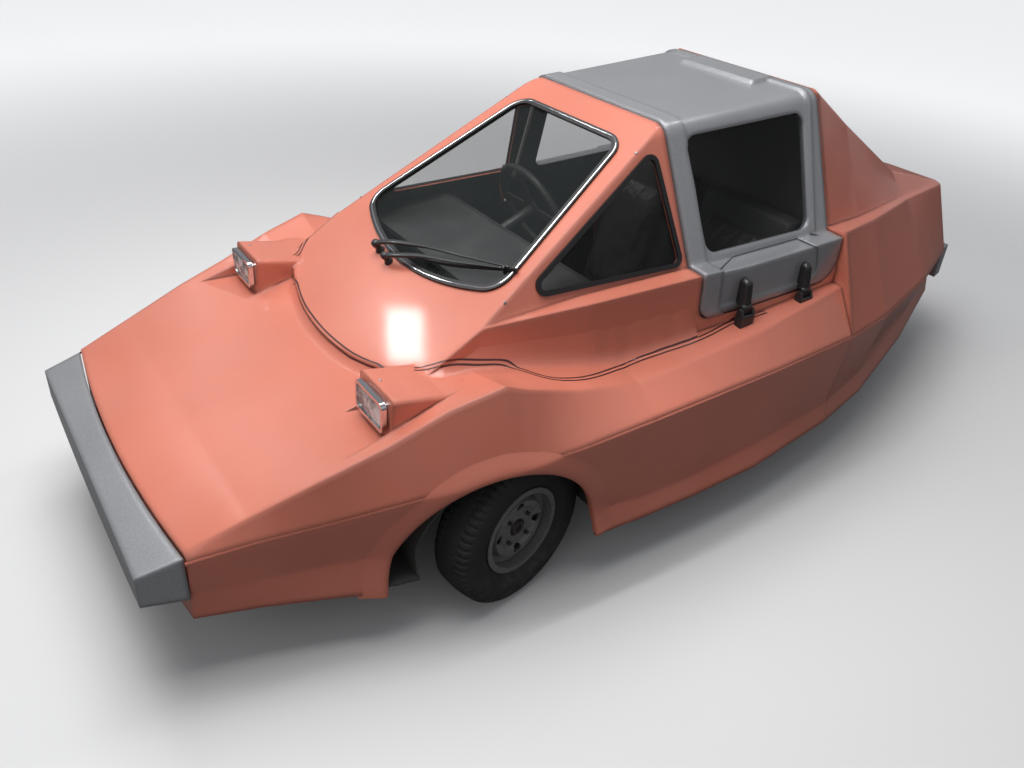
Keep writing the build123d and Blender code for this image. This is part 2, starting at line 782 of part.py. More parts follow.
with BuildPart() as tail_lamps:
    with BuildSketch(across(tail_y + seam_gap)):
        with Locations((tail_lamp_x, tail_lamp_z), (-tail_lamp_x, tail_lamp_z)):
            Circle(tail_lamp_r)
    extrude(amount=-24)
save("tail_lamps", tail_lamps.part)

# Windscreen wiper: pivot, arm and blade lie along the foot of the screen
with BuildPart() as wiper:
    with BuildSketch(screen.offset(seam_gap)):
        with Locations((-40, -150)):
            Circle(14)
    extrude(amount=16)
    with BuildSketch(screen.offset(14)):
        with BuildLine():
            Polyline((-50, -158), (-34, -160), (345, 28), (338, 40), (-40, -142), close=True)
        make_face()
    extrude(amount=8)
save("wiper", wiper.part)


# Wheels: sections turned about the axle, x outward from the wheel's middle and y the radius
def wheel_plane(centre, outward):
    """Local x points outward along the axle and local y up, through the wheel's centre."""
    normal = Vector(*outward).cross(Vector(0, 0, 1))
    return Plane(origin=centre, x_dir=outward, z_dir=normal)


def make_tyre(plane):
    half, tread = tyre_width / 2, tread_width / 2
    seat = rim_width / 2 - rim_wall - 2
    with BuildPart() as tyre:
        with BuildSketch(plane) as section:
            with BuildLine():
                Polyline((-seat, bead_r + 0.2), (-seat, bead_r + 14), (-half, (tyre_r + bead_r) / 2),
                         (-tread, tyre_r - 3), (0, tyre_r), (tread, tyre_r - 3),
                         (half, (tyre_r + bead_r) / 2), (seat, bead_r + 14), (seat, bead_r + 0.2),
                         (seat - 14, bead_r + 0.2), (half - 14, (tyre_r + bead_r) / 2),
                         (tread - 6, tyre_r - 13), (-tread + 6, tyre_r - 13),
                         (-half + 14, (tyre_r + bead_r) / 2), (-seat + 14, bead_r + 0.2), close=True)
            make_face()
        revolve(axis=Axis(plane.origin, plane.x_dir))
    return tyre.part


def make_rim(plane):
    half = rim_width / 2
    face = half - disc_inset
    with BuildPart() as rim:
        with BuildSketch(plane):
            with BuildLine():
                Polyline((-half, rim_r), (-half + rim_wall, rim_r), (-half + rim_wall, bead_r),
                         (-18, bead_r), (-12, bead_r - 18), (14, bead_r - 18), (20, bead_r),
                         (half - rim_wall, bead_r), (half - rim_wall, rim_r), (half, rim_r),
                         (half, bead_r - rim_wall), (24, bead_r - rim_wall), (18, bead_r - 22),
                         (-16, bead_r - 22), (-22, bead_r - rim_wall), (-half, bead_r - rim_wall), close=True)
            make_face()
            with BuildLine():
                Polyline((face - 4, hub_bore_r), (face, hub_bore_r), (face, 62), (face + 8, 74),
                         (face + 8, 92), (16, bead_r - 21.5), (10, bead_r - 21.5), (face + 3, 88),
                         (face + 3, 76), (face - 4, 64), close=True)
            make_face()
        revolve(axis=Axis(plane.origin, plane.x_dir))
        out = Plane(origin=plane.origin, x_dir=(0, 0, 1), z_dir=plane.x_dir)
        with BuildSketch(out):
            with PolarLocations(vent_hole_pitch_r, vent_hole_count):
                Circle(vent_hole_r)
            with PolarLocations(stud_pitch_r, stud_count, start_angle=45):
                Circle(stud_r + 0.5)
        extrude(amount=big, mode=Mode.SUBTRACT)
    return rim.part


steer = math.radians(steer_rest)
stations = {
    "left": ((kingpin_x + hub_offset * math.cos(steer), hub_offset * math.sin(steer)),
             (math.cos(steer), math.sin(steer), 0)),
    "right": ((-kingpin_x - hub_offset * math.cos(steer), -hub_offset * math.sin(steer)),
              (-math.cos(steer), -math.sin(steer), 0)),
    "rear": ((0, wheelbase), (1, 0, 0)),
}
for name, ((x, y), outward) in stations.items():
    plane = wheel_plane((x, y + axle_y, tyre_r), outward)
    save(f"{name}_tyre", make_tyre(plane))
    save(f"{name}_wheel", make_rim(plane))

# Hubs: brake drum, wheel flange and studs, turning with the wheel on a fixed axle
def make_hub(plane, bore_r, sleeve):
    """sleeve is how far the hub's middle reaches inward and outward from the wheel's middle."""
    face = rim_width / 2 - disc_inset - 4
    with BuildPart() as hub:
        with BuildSketch(plane):
            with BuildLine():
                Polyline((-sleeve[0], bore_r), (sleeve[1], bore_r), (sleeve[1], bore_r + 9),
                         (face, bore_r + 12), (face, 60), (face - 5, drum_r), (-12, drum_r),
                         (-12, bore_r + 12), (-sleeve[0], bore_r + 9), close=True)
            make_face()
        revolve(axis=Axis(plane.origin, plane.x_dir))
        stud_foot = plane.origin + plane.x_dir * (face - 8)
        with BuildSketch(Plane(origin=stud_foot, x_dir=(0, 0, 1), z_dir=plane.x_dir)):
            with PolarLocations(stud_pitch_r, stud_count, start_angle=45):
                Circle(stud_r)
        extrude(amount=24)
    return hub.part


wishbone_half = arm_r * 0.7
for name in ("left", "right", "rear"):
    (x, y), outward = stations[name]
    plane = wheel_plane((x, y + axle_y, tyre_r), outward)
    if name == "rear":
        reach = swing_x - swing_r - seam_gap
        save("rear_hub", make_hub(plane, rear_axle_r + running_gap, (reach, reach)))
    else:
        save(f"{name}_hub", make_hub(plane, stub_r + running_gap, (20, rim_width / 2 - disc_inset + 6)))

# Knuckles: upright between the wishbones, stub axle and steering arm
for name, side in (("left", 1), ("right", -1)):
    (x, y), outward = stations[name]
    plane = wheel_plane((x, y + axle_y, tyre_r), outward)
    low = arm_z + wishbone_half + seam_gap - tyre_r
    high = upper_arm_z - wishbone_half - seam_gap - tyre_r
    with BuildPart() as knuckle:
        with BuildSketch(plane):
            with BuildLine():
                Polyline((-22, 40), (-22, -40), (14 - hub_offset, low), (-14 - hub_offset, low),
                         (-14 - hub_offset, high), (14 - hub_offset, high), close=True)
            make_face()
        extrude(amount=16, both=True)
        with BuildSketch(Plane(origin=plane.origin - plane.x_dir * 30, x_dir=(0, 0, 1), z_dir=plane.x_dir)):
            Circle(stub_r)
        extrude(amount=30 + rim_width / 2 - disc_inset)
        with BuildSketch(Plane(origin=(side * kingpin_x, axle_y, steering_arm_z - 8),
                               x_dir=(side * outward[0], side * outward[1], 0))):
            with BuildLine():
                Polyline((-14, 0), (14, 0), (12 - side * steering_arm_in, steering_arm),
                         (-12 - side * steering_arm_in, steering_arm), close=True)
            make_face()
            with Locations((-side * steering_arm_in, steering_arm)):
                Circle(12)
        extrude(amount=16)
    save(f"{name}_knuckle", knuckle.part)

# Floor pan: follows the skirt's inner face, open for the wheels and the subframe's towers
def skirt_inner_at(s, z):
    height = max(z, s.hem_z)
    run = (s.crease_x - s.hem_x) / (s.crease_z - s.hem_z)
    return s.hem_x + run * (height - s.hem_z) - wall * 1.3


with BuildPart() as floor_pan:
    with BuildSketch(level(floor_z)):
        with BuildLine():
            edge = [(skirt_inner_at(s, floor_z + floor_wall), s.y) for s in front_sections if -600 < s.y]
            edge += [(skirt_inner_at(s, floor_z + floor_wall), s.y) for s in rear_sections[1:-1]]
            Polyline((0, edge[0][1]), *edge, (0, edge[-1][1]), close=True)
        make_face()
        mirror(about=Plane.YZ)
        with Locations((kingpin_x + 155, 0), (-kingpin_x - 155, 0)):
            Rectangle(2 * (kingpin_x + 155 - house_inner_x), 2 * house_r, mode=Mode.SUBTRACT)
        with Locations((0, wheelbase + 100)):
            Rectangle(260, 900, mode=Mode.SUBTRACT)
        with Locations((subframe_x, 0), (-subframe_x, 0)):
            Rectangle(40 + 2 * seam_gap, 110 + 2 * seam_gap, mode=Mode.SUBTRACT)
    extrude(amount=floor_wall)
save("floor_pan", floor_pan.part)

# Wheel houses: half round tubs over the front wheels, their inner wall open for the suspension
with BuildPart() as wheel_houses:
    with BuildSketch(along(house_inner_x)):
        with Locations((0, tyre_r)):
            Circle(house_r + 6)
    extrude(amount=400)
    with BuildSketch(along(house_inner_x + 6)):
        with Locations((0, tyre_r)):
            Circle(house_r)
    extrude(amount=400, mode=Mode.SUBTRACT)
    with BuildSketch(along(house_inner_x - 5)):
        with Locations((40, 290)):
            Rectangle(260, 340)
    extrude(amount=20, mode=Mode.SUBTRACT)
    with BuildSketch(level(0)):
        Rectangle(2 * big, 2 * big)
    extrude(amount=on_floor_z, mode=Mode.SUBTRACT)
    mirror(about=Plane.YZ)
    add(house_room, mode=Mode.INTERSECT)
save("wheel_houses", wheel_houses.part)

# Bulkhead behind the seats
with BuildPart() as bulkhead:
    with BuildSketch(across(canopy_rear_y + 10)):
        with BuildLine():
            Polyline((0, on_floor_z), (640, on_floor_z), (640, 540),
                     (560, 700), (560, 850), (480, 860), (350, 1180), (0, 1180), close=True)
        make_face()
        mirror(about=Plane.YZ)
    extrude(amount=-6)
save("bulkhead", bulkhead.part)

# The column's plane: its normal points aft and up, towards the driver
rake = math.radians(column_rake)
column = Plane(
    origin=(steering_wheel_x, steering_wheel_y + axle_y, steering_wheel_z),
    x_dir=(1, 0, 0),
    z_dir=(0, math.cos(rake), math.sin(rake)),
)
# Dash
with BuildPart() as dash:
    with BuildSketch(along(-big)):
        with BuildLine():
            Polyline((120, 795), (430, 815), (470, 800), (470, 690), (455, 690), (455, 785), (425, 798),
                     (120, 780), close=True)
        make_face()
    extrude(amount=2 * big)
    add(ruled(cabin_sections, cabin_points, depth=wall + seam_gap), mode=Mode.INTERSECT)
    add(half_space(screen.offset(-wall - seam_gap)), mode=Mode.SUBTRACT)
    with BuildSketch(column):
        Circle(20 + seam_gap)
    extrude(amount=-column_length, mode=Mode.SUBTRACT)
save("dash", dash.part)

# Seats
for name, x in (("left_seat", seat_x), ("right_seat", -seat_x)):
    with BuildPart() as seat:
        with BuildSketch(along(x - seat_width / 2)):
            with BuildLine():
                Polyline((780, on_floor_z), (780, 370), (1090, 330), (1230, 900), (1330, 890),
                         (1200, on_floor_z), close=True)
            make_face()
        extrude(amount=seat_width)
    save(name, seat.part)

# Steering wheel and column
with BuildPart() as steering_wheel:
    with BuildSketch(Plane(origin=column.origin, x_dir=column.y_dir, z_dir=column.x_dir)):
        with Locations((steering_wheel_r, 0)):
            Circle(13)
    revolve(axis=Axis(column.origin, column.z_dir))
    with BuildSketch(column.offset(-5)):
        Circle(45)
        Rectangle(2 * steering_wheel_r, 34)
        with Locations((0, -steering_wheel_r / 2)):
            Rectangle(34, steering_wheel_r)
    extrude(amount=7)
    with BuildSketch(column.offset(-40)):
        Circle(20)
    extrude(amount=36)
save("steering_wheel", steering_wheel.part)
with BuildPart() as steering_column:
    with BuildSketch(column.offset(-40.3)):
        Circle(20)
    extrude(amount=-column_length)
save("steering_column", steering_column.part)

# Front subframe: cross member under the floor, a tower each side and the wishbones' pivot rails
with BuildPart() as front_subframe:
    with BuildSketch(across(-55)):
        with Locations((0, floor_z - 40)):
            Rectangle(2 * crossmember_half, 70)
    extrude(amount=-110)
    with BuildSketch(across(-20)):
        with BuildLine():
            Polyline((subframe_x - 20, floor_z - 20), (subframe_x + 20, floor_z - 20),
                     (subframe_x + 20, upper_arm_z), (damper_head_x - 30, damper_head_z - 10),
                     (damper_head_x - 30, damper_head_z),
                     (damper_head_x + 24, damper_head_z), (damper_head_x + 24, damper_head_z + 16),
                     (damper_head_x - 24, damper_head_z + 16), (subframe_x - 20, upper_arm_z + 40),
                     close=True)
        make_face()
        mirror(about=Plane.YZ)
    extrude(amount=-40)
    for z in (arm_z, upper_arm_z):
        with BuildSketch(across(-130)):
            with Locations((subframe_x, z), (-subframe_x, z)):
                Rectangle(2 * arm_r, 2 * arm_r)
        extrude(amount=-260)
    for x in (subframe_x, -subframe_x):
        with BuildSketch(Plane(origin=(x - arm_r, axle_y, 0), x_dir=(0, 1, 0), z_dir=(1, 0, 0))):
            with BuildLine():
                Polyline((rack_y - 12, rack_z), (rack_y + 12, rack_z), (rack_y + 12, upper_arm_z),
                         (rack_y - 12, upper_arm_z), close=True)
            make_face()
            with Locations((rack_y, rack_z)):
                Circle(rack_r + seam_gap, mode=Mode.SUBTRACT)
        extrude(amount=2 * arm_r)
save("front_subframe", front_subframe.part)
pivot_x = subframe_x + arm_r + wishbone_half + seam_gap
with BuildPart() as wishbones:
    for z in (arm_z, upper_arm_z):
        with BuildSketch(level(z - wishbone_half)):
            for side in (1, -1):
                with BuildLine():
                    Polyline((side * pivot_x, -105), (side * kingpin_x, 0), (side * pivot_x, 105))
                trace(line_width=2 * wishbone_half)
                with Locations((side * pivot_x, -105), (side * pivot_x, 105)):
                    Circle(wishbone_half)
                with Locations((side * kingpin_x, 0)):
                    Circle(16)
                if z == arm_z:
                    with Locations((side * damper_foot_x, 0)):
                        Rectangle(34, 76)
        extrude(amount=2 * wishbone_half)
save("wishbones", wishbones.part)
with BuildPart() as steering_rack:
    with BuildSketch(Plane(origin=(-rack_half, rack_y + axle_y, rack_z), x_dir=(0, 1, 0), z_dir=(1, 0, 0))):
        Circle(rack_r)
        Circle(rack_bar_r + running_gap, mode=Mode.SUBTRACT)
    extrude(amount=2 * rack_half)
save("steering_rack", steering_rack.part)

# Rack bar and track rods in one: their ends stand over the eyes of the steering arms
def eye_x(side):
    """Where a steering arm's eye lies across the car with the wheels at rest."""
    return side * kingpin_x - side * steering_arm_in * math.cos(steer) - steering_arm * math.sin(steer)


with BuildPart() as track_rods:
    with BuildSketch(Plane(origin=(eye_x(-1), rack_y + axle_y, rack_z), x_dir=(0, 1, 0), z_dir=(1, 0, 0))):
        Circle(rack_bar_r)
    extrude(amount=eye_x(1) - eye_x(-1))
    with BuildSketch(level(steering_arm_z + 8 + 5)):
        with Locations((eye_x(1), rack_y), (eye_x(-1), rack_y)):
            Circle(11)
    extrude(amount=rack_z + 10 - steering_arm_z - 13)
save("track_rods", track_rods.part)

# Swing arm, its frame and the engine ahead of it
with BuildPart() as swing_arm:
    with BuildSketch(level(tyre_r - swing_r)):
        arm_middle_y = (swing_pivot_y + wheelbase) / 2
        with Locations((swing_x, arm_middle_y), (-swing_x, arm_middle_y)):
            Rectangle(2 * swing_r, wheelbase - swing_pivot_y + 60)
        with Locations((0, swing_pivot_y + 20)):
            Rectangle(2 * swing_x, 50)
    extrude(amount=2 * swing_r)
    with BuildSketch(Plane(origin=(-swing_x, wheelbase + axle_y, tyre_r), x_dir=(0, 1, 0), z_dir=(1, 0, 0))):
        Circle(rear_axle_r)
    extrude(amount=2 * swing_x)
save("swing_arm", swing_arm.part)
with BuildPart() as rear_frame:
    with BuildSketch(along(swing_x + swing_r + seam_gap)):
        with BuildLine():
            Polyline((rear_frame_y - 40, on_floor_z), (rear_frame_y + 40, on_floor_z),
                     (rear_frame_y + 25, rear_frame_top), (rear_frame_y - 25, rear_frame_top), close=True)
        make_face()
    extrude(amount=10)
    mirror(about=Plane.YZ)
    cross_tube = (0, rear_frame_y + axle_y, rear_frame_top - 25)
    with BuildSketch(Plane(origin=cross_tube, x_dir=(0, 1, 0), z_dir=(1, 0, 0))):
        Circle(15)
    extrude(amount=swing_x + swing_r + 5, both=True)
save("rear_frame", rear_frame.part)
with BuildPart() as engine_block:
    with Locations((0, engine_y + axle_y, on_floor_z)):
        Box(*engine_size, align=(Align.CENTER, Align.CENTER, Align.MIN))
save("engine_block", engine_block.part)
with BuildPart() as exhaust:
    engine_back = engine_y + engine_size[1] / 2 + seam_gap
    exhaust_z = floor_z + floor_wall + exhaust_r + seam_gap
    for start, end, radius in ((engine_back, tail_reach - 30, exhaust_r),
                               (silencer_start, silencer_end, silencer_r)):
        with BuildSketch(across(start)):
            with Locations((exhaust_x, exhaust_z)):
                Circle(radius)
        extrude(amount=start - end)
save("exhaust", exhaust.part)

# Spring and damper units: a stem inside a coil's outer form
def strut(foot, head):
    """One spring and damper between two points given as x, station, z."""
    start = Vector(foot[0], foot[1] + axle_y, foot[2])
    direction = Vector(head[0], head[1] + axle_y, head[2]) - start
    length = direction.length
    base = Plane(origin=start, z_dir=direction)
    with BuildPart() as unit:
        with BuildSketch(base):
            Circle(damper_r)
        extrude(amount=length)
        with BuildSketch(base.offset(length * 0.3)):
            Circle(spring_r)
        extrude(amount=length * 0.52)
        with Locations(start, start + direction):
            Sphere(eye_r)
    return unit.part


with BuildPart() as front_dampers:
    add(strut((damper_foot_x, 0, arm_z + wishbone_half + eye_r + seam_gap),
              (damper_head_x, 0, damper_head_z - eye_r - seam_gap)))
    mirror(about=Plane.YZ)
save("front_dampers", front_dampers.part)
with BuildPart() as rear_dampers:
    add(strut((swing_x, wheelbase - 130, tyre_r + swing_r + eye_r + seam_gap),
              (swing_x, rear_frame_y, rear_frame_top - 40 - eye_r - seam_gap)))
    mirror(about=Plane.YZ)
save("rear_dampers", rear_dampers.part)

# Gear lever between the seats
with BuildPart() as gear_lever:
    with BuildSketch(level(on_floor_z)) as base:
        with Locations((0, 720)):
            Circle(45)
    with BuildSketch(level(floor_z + 70)):
        with Locations((0, 728)):
            Circle(16)
    loft()
    with BuildSketch(level(floor_z + 60)):
        with Locations((0, 728)):
            Circle(7)
    extrude(amount=190)
    with Locations((0, 728 + axle_y, floor_z + 262)):
        Sphere(22)
save("gear_lever", gear_lever.part)
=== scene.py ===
import json
import math

import bmesh
import bpy
import numpy as np
from bpy.props import FloatProperty, FloatVectorProperty, IntProperty, PointerProperty
from mathutils import Matrix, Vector
from mathutils.bvhtree import BVHTree


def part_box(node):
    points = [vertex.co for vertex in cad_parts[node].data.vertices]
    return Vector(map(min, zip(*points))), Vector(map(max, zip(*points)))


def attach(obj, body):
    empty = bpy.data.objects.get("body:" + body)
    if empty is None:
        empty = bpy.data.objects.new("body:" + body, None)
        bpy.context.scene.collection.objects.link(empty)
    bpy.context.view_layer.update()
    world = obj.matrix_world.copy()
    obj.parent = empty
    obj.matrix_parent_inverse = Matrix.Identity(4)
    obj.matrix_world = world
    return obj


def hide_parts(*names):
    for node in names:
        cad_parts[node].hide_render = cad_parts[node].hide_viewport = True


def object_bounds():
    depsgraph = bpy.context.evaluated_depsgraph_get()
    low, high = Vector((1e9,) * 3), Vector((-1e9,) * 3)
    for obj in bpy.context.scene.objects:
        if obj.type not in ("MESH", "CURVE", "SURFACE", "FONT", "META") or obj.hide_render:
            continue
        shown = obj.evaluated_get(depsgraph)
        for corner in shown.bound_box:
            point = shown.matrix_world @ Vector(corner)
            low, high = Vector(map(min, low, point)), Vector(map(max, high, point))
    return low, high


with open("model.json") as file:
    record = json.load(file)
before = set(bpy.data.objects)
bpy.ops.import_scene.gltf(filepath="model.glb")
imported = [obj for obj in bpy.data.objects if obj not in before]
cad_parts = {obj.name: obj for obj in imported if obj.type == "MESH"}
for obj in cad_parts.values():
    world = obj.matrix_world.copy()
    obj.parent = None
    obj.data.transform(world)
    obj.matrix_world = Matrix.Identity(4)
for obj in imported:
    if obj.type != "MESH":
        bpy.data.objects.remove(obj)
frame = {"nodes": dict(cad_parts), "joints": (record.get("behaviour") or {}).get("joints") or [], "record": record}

bl_info = {
    "name": "Three wheeled car dressing",
    "version": (1, 0, 0),
    "blender": (4, 5, 0),
    "location": "3D View > Sidebar > Car",
    "description": "Paint, glass, rubber, tyres, seats and trim for a wedge shaped three wheeled car",
    "category": "Object",
}

CAD_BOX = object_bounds()
NODES = frame["nodes"]
SLOT_OF = {p["node"]: p["material_slot"] for p in frame["record"]["subparts"]}
SIDES = {"left": 1.0, "right": -1.0}
FRONT_AXLE_Y = -0.8575      # the front axle's place along the car, from which stations are counted


# Settings that a user would change.

class PaintSettings(bpy.types.PropertyGroup):
    body: FloatVectorProperty(name="Body", description="Main colour of the moulded body",
                              subtype="COLOR", default=(0.60, 0.180, 0.118))
    canopy: FloatVectorProperty(name="Canopy", description="Silver grey of canopy and bumpers",
                                subtype="COLOR", default=(0.30, 0.304, 0.320))
    stripe: FloatVectorProperty(name="Stripe", description="Colour of the twin side lines",
                                subtype="COLOR", default=(0.060, 0.016, 0.014))
    stripe_width: FloatProperty(name="Stripe width", description="Width of one painted line",
                                subtype="DISTANCE", default=0.0052)
    stripe_pitch: FloatProperty(name="Stripe pitch", description="Distance between the two lines",
                                subtype="DISTANCE", default=0.013)


class BodySettings(bpy.types.PropertyGroup):
    arch_proud: FloatProperty(name="Arch edge", description="How far the wheel arch's rolled edge stands out",
                              subtype="DISTANCE", default=0.0090)
    arch_reach: FloatProperty(name="Arch blend", description="Width over which the edge flows into the side",
                              subtype="DISTANCE", default=0.075)
    cove_pitch: FloatProperty(name="Cove grid", description="Distance between the points of the foot's cove",
                              subtype="DISTANCE", default=0.005)
    cove_passes: IntProperty(name="Cove softness", description="Times the foot's heights are evened out",
                             default=22, min=0)
    joint_width: FloatProperty(name="Joint width", description="Width of the filled joint along the waist",
                               subtype="DISTANCE", default=0.012)


class TyreSettings(bpy.types.PropertyGroup):
    blocks: IntProperty(name="Blocks", description="Tread blocks round a tyre", default=62, min=12)
    groove: FloatProperty(name="Groove", description="Depth of the tread grooves",
                          subtype="DISTANCE", default=0.004)
    rubber: FloatVectorProperty(name="Rubber", description="Colour of worn tyre rubber",
                                subtype="COLOR", default=(0.016, 0.0155, 0.015))


class SeatSettings(bpy.types.PropertyGroup):
    cover: FloatVectorProperty(name="Cover", description="Colour of the vinyl seat cover",
                               subtype="COLOR", default=(0.03, 0.028, 0.027))
    swell: FloatProperty(name="Swell", description="Furthest a cushion may swell",
                         subtype="DISTANCE", default=0.02)


class StageSettings(bpy.types.PropertyGroup):
    floor_reach: FloatProperty(name="Floor reach", description="Half the width of the studio floor",
                               subtype="DISTANCE", default=60.0)
    floor: FloatVectorProperty(name="Floor", description="Pale studio floor",
                               subtype="COLOR", default=(0.70, 0.70, 0.70))
    bounce: FloatVectorProperty(name="Floor bounce", description="Floor as it lights the car from below",
                                subtype="COLOR", default=(0.12, 0.12, 0.12))
    sky: FloatProperty(name="Sky light", description="Strength of the light from all round", default=0.27)
    key: FloatProperty(name="Key light", description="Watts of the large overhead light", default=208.0)
    fill: FloatProperty(name="Fill light", description="Watts of the light from the front", default=28.0)
    tube: FloatProperty(name="Tube light", description="Watts of the long thin overhead light", default=30.0)
    spark: FloatProperty(name="Spark light", description="Watts of the glint on the dome", default=6.0)


# Meshes.

def mesh_piece(name, points, faces, smooth=True):
    """An object at the origin made from points (n, 3) and a list of faces."""
    mesh = bpy.data.meshes.new(name)
    mesh.from_pydata(np.asarray(points, dtype=float).reshape(-1, 3).tolist(), [],
                     [list(map(int, face)) for face in faces])
    mesh.validate()
    mesh.polygons.foreach_set("use_smooth", np.full(len(mesh.polygons), smooth))
    mesh.update()
    piece = bpy.data.objects.new(name, mesh)
    bpy.context.scene.collection.objects.link(piece)
    return piece


def grid_faces(rows, columns, wrap_rows=False, wrap_columns=False):
    """Quads over a rows x columns grid of points counted row by row."""
    r = np.arange(rows if wrap_rows else rows - 1)
    c = np.arange(columns if wrap_columns else columns - 1)
    r, c = np.meshgrid(r, c, indexing="ij")
    r2, c2 = (r + 1) % rows, (c + 1) % columns
    quads = np.stack([r * columns + c, r * columns + c2, r2 * columns + c2, r2 * columns + c], axis=-1)
    return quads.reshape(-1, 4).tolist()


def end_faces(rows, columns):
    """One face over the first row of a grid and one over its last."""
    return [list(range(columns))[::-1], list(range((rows - 1) * columns, rows * columns))]


def sheet(points, wrap_rows=False, wrap_columns=False, flip=False, further=()):
    """Points and faces of a (rows, columns, 3) surface, with further faces over the same points."""
    faces = grid_faces(*points.shape[:2], wrap_rows, wrap_columns) + list(further)
    return points.reshape(-1, 3), [face[::-1] for face in faces] if flip else faces


def stacked(name, sheets, smooth=True):
    """One piece from the points and faces of several surfaces."""
    parts, faces, start = [], [], 0
    for points, own in sheets:
        parts.append(points)
        faces += [[start + k for k in face] for face in own]
        start += len(points)
    return mesh_piece(name, np.vstack(parts), faces, smooth)


# A box's faces over its corners, which are counted by x, then y, then z.
BOX_SIDES = [(0, 1, 3, 2), (4, 6, 7, 5), (0, 4, 5, 1), (2, 3, 7, 6), (0, 2, 6, 4), (1, 5, 7, 3)]


def box_sheet(x_ends, y_ends, z_ends):
    return np.array([(x, y, z) for x in x_ends for y in y_ends for z in z_ends]), BOX_SIDES


def lines_through(table, count, closed=False):
    """Catmull-Rom line through the rows of a table, count points long and evenly spaced."""
    p = np.asarray(table, dtype=float)
    if closed:
        p = np.vstack([p[-1], p, p[0], p[1]])
    else:
        p = np.vstack([2 * p[0] - p[1], p, 2 * p[-1] - p[-2]])
    t = np.linspace(0, 1, 24, endpoint=False)[:, None]
    a, b, c, d = p[:-3, None], p[1:-2, None], p[2:-1, None], p[3:, None]
    q = 0.5 * (2 * b + (c - a) * t + (2 * a - 5 * b + 4 * c - d) * t ** 2 + (3 * b - a - 3 * c + d) * t ** 3)
    q = np.vstack([q.reshape(-1, p.shape[1]), p[-2]])
    run = np.concatenate([[0], np.cumsum(np.linalg.norm(np.diff(q, axis=0), axis=1))])
    at = np.linspace(0, run[-1], count, endpoint=not closed)
    return np.stack([np.interp(at, run, q[:, k]) for k in range(q.shape[1])], axis=1)


def unit(v):
    return v / np.maximum(np.linalg.norm(v, axis=-1, keepdims=True), 1e-12)


def smooth_step(share):
    """The S curve 3 t^2 - 2 t^3 between 0 and 1, level outside them."""
    share = np.clip(share, 0, 1)
    return share * share * (3 - 2 * share)


def sweep(path, profile, up, closed=False):
    """Profile points (sideways, upwards) carried along a path; up is the path's upward direction."""
    ahead = unit(np.roll(path, -1, 0) - np.roll(path, 1, 0)) if closed else unit(np.gradient(path, axis=0))
    up = np.broadcast_to(up, path.shape)
    up = unit(up - ahead * np.sum(up * ahead, 1)[:, None])
    aside = np.cross(ahead, up)
    return path[:, None] + profile[None, :, :1] * aside[:, None] + profile[None, :, 1:] * up[:, None]


def circle(radius, count):
    a = np.linspace(0, 2 * np.pi, count, endpoint=False)
    return np.stack([radius * np.cos(a), radius * np.sin(a)], axis=1)


def turned(profile, count, centre, axis):
    """Profile points (distance along the axis, radius) turned round an axis through centre."""
    axis = unit(np.asarray(axis, float))
    aside = unit(np.cross(axis, (0.0, 0.0, 1.0) if abs(axis[2]) < 0.9 else (1.0, 0.0, 0.0)))
    a = np.linspace(0, 2 * np.pi, count, endpoint=False)[:, None, None]
    profile = np.asarray(profile, float)
    ring = np.cos(a) * aside + np.sin(a) * np.cross(axis, aside)
    return np.asarray(centre, float) + profile[None, :, :1] * axis + profile[None, :, 1:2] * ring


def outward_faces(piece):
    """Merges doubles and turns every closed part's faces outwards."""
    work = bmesh.new()
    work.from_mesh(piece.data)
    bmesh.ops.remove_doubles(work, verts=work.verts, dist=1e-6)
    bmesh.ops.recalc_face_normals(work, faces=work.faces)
    work.to_mesh(piece.data)
    work.free()
    return piece


def places_of(mesh):
    places = np.empty(len(mesh.vertices) * 3)
    mesh.vertices.foreach_get("co", places)
    return places.reshape(-1, 3)


def surface_tree(pieces):
    """A search tree over the triangles of several pieces, for laying others on them."""
    points, faces, start = [], [], 0
    for piece in pieces:
        mesh = piece.data
        points.append(places_of(mesh))
        mesh.calc_loop_triangles()
        corners = np.empty(len(mesh.loop_triangles) * 3, dtype=np.int32)
        mesh.loop_triangles.foreach_get("vertices", corners)
        faces.append(corners.reshape(-1, 3) + start)
        start += len(mesh.vertices)
    return BVHTree.FromPolygons(np.vstack(points).tolist(), np.vstack(faces).tolist())


def applied(piece):
    """The piece with its modifiers made part of its mesh."""
    graph = bpy.context.evaluated_depsgraph_get()
    mesh = bpy.data.meshes.new_from_object(piece.evaluated_get(graph))
    piece.modifiers.clear()
    piece.data = mesh
    return piece


def finish_piece(piece, body, finish):
    """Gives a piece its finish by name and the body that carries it."""
    material = bpy.data.materials.get(finish)
    if material is None:
        raise RuntimeError(f"material {finish} is missing: run the paint operator first")
    piece.data.materials.clear()
    piece.data.materials.append(material)
    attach(piece, body)


# Materials.

